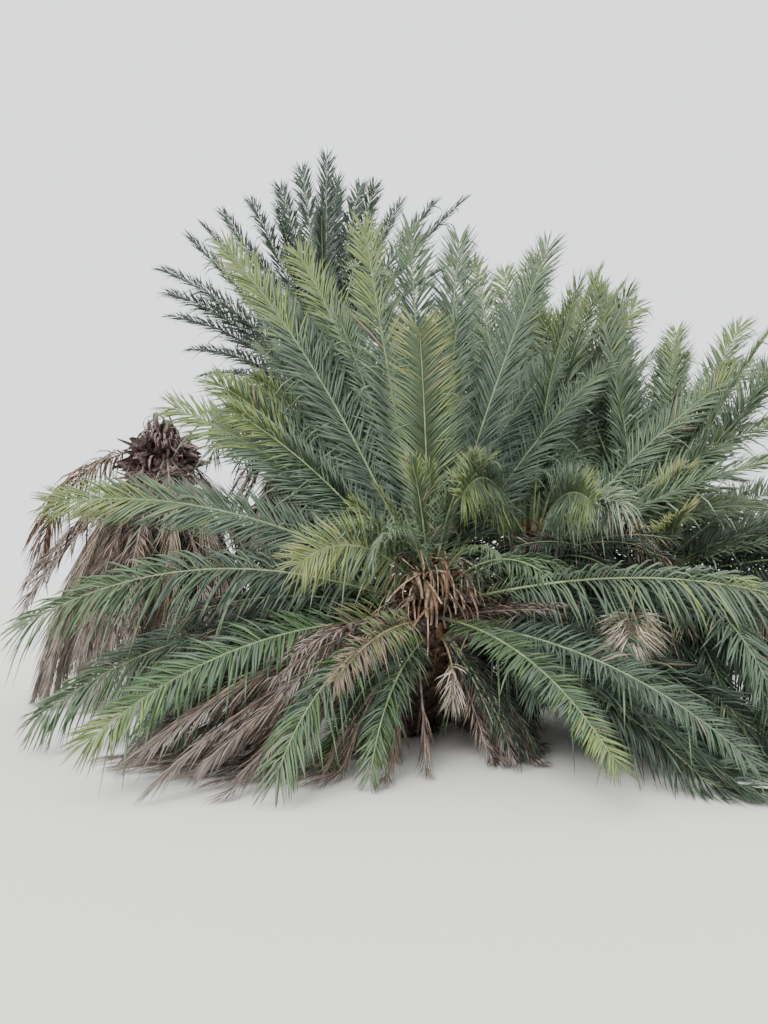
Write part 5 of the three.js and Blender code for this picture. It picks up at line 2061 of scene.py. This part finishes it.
class Clump:
    """The whole plant: stems, fronds and litter, as pieces that stand for the solids."""

    def __init__(self, finishes: Finishes) -> None:
        """Places the fronds.

        Args:
            finishes: The materials of the looks.
        """
        self.finishes = finishes
        growth = Growth(FANS)
        growth.seat()
        self.fronds = growth.place() + fill_fronds()
        self.nodes = {frond.seed: holder.node for holder in growth.holders for frond in holder.fronds}
        self.total = 0

    def _finish(self, skin: Skin, name: str, nodes: Sequence[str], smooth: bool) -> None:
        """Builds a piece, sets it on its body and reports it.

        Args:
            skin: The piece's faces.
            name: Its name.
            nodes: The nodes of the solids that it stands for.
            smooth: Whether it is shaded smooth.
        """
        if not skin.parts:
            return
        shares = skin.dealt(PIECE_TRIANGLES)
        for i, share in enumerate(shares):
            piece = f"{name}_{i + 1}" if len(shares) > 1 else name
            obj = share.build(piece, self.finishes, smooth)
            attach(obj, BODY)
            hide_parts(*sorted(set(nodes)))
            self.total += share.size
            LOG.info("%s: %d triangles", piece, share.size)

    def add_fronds(self, at: str, dry: bool) -> None:
        """Adds the leaflets and the midribs of one crown's live or dead fronds.

        Args:
            at: The stem's name.
            dry: Whether the dead ones are meant.
        """
        own = [frond for frond in self.fronds if frond.fan.at == at and frond.fan.dry == dry]
        kind = "dry" if dry else "green"
        ribs = Skin()
        leaves = Skin()
        for frond in own:
            foliage = Foliage(frond)
            foliage.add_leaflets(leaves)
            foliage.add_rib(ribs)
            if frond.seed < FILL_SEED:
                foliage.add_spines(ribs)
        nodes = [self.nodes[frond.seed] for frond in own if frond.seed in self.nodes]
        self._finish(leaves, f"{at}_{kind}_leaflets", nodes, smooth=False)
        self._finish(ribs, f"{at}_{kind}_midribs", nodes, smooth=True)

    def add_stem(self, stem: Stem) -> None:
        """Adds one stem's body, its old leaf bases and the dressing of its crown.

        Args:
            stem: The stem.
        """
        trunk = Trunk(stem)
        body, boots, crown = Skin(), Skin(), Skin()
        trunk.add_body(body)
        BOOTS.add(trunk, boots)
        for dressing in CROWNS.get(stem.name, LIVE_CROWN):
            dressing.add(trunk, crown)
        nodes = [f"{stem.name}_stem"]
        for skin, part in ((body, "trunk"), (boots, "boots"), (crown, "crown_fibre")):
            self._finish(skin, f"{stem.name}_{part}", nodes, smooth=True)

    def build(self) -> None:
        """Builds every piece of the plant."""
        for name, stem in STEMS.items():
            self.add_stem(stem)
            for dry in (False, True):
                self.add_fronds(name, dry)
        LOG.info("all pieces: %d triangles", self.total)


def main() -> None:
    """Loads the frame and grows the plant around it."""
    logging.basicConfig(level=logging.INFO, format="%(message)s")
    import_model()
    studio = Studio()
    studio.set_camera()
    studio.set_floor()
    studio.set_light()
    Clump(Finishes()).build()


if __name__ == "__main__":
    main()
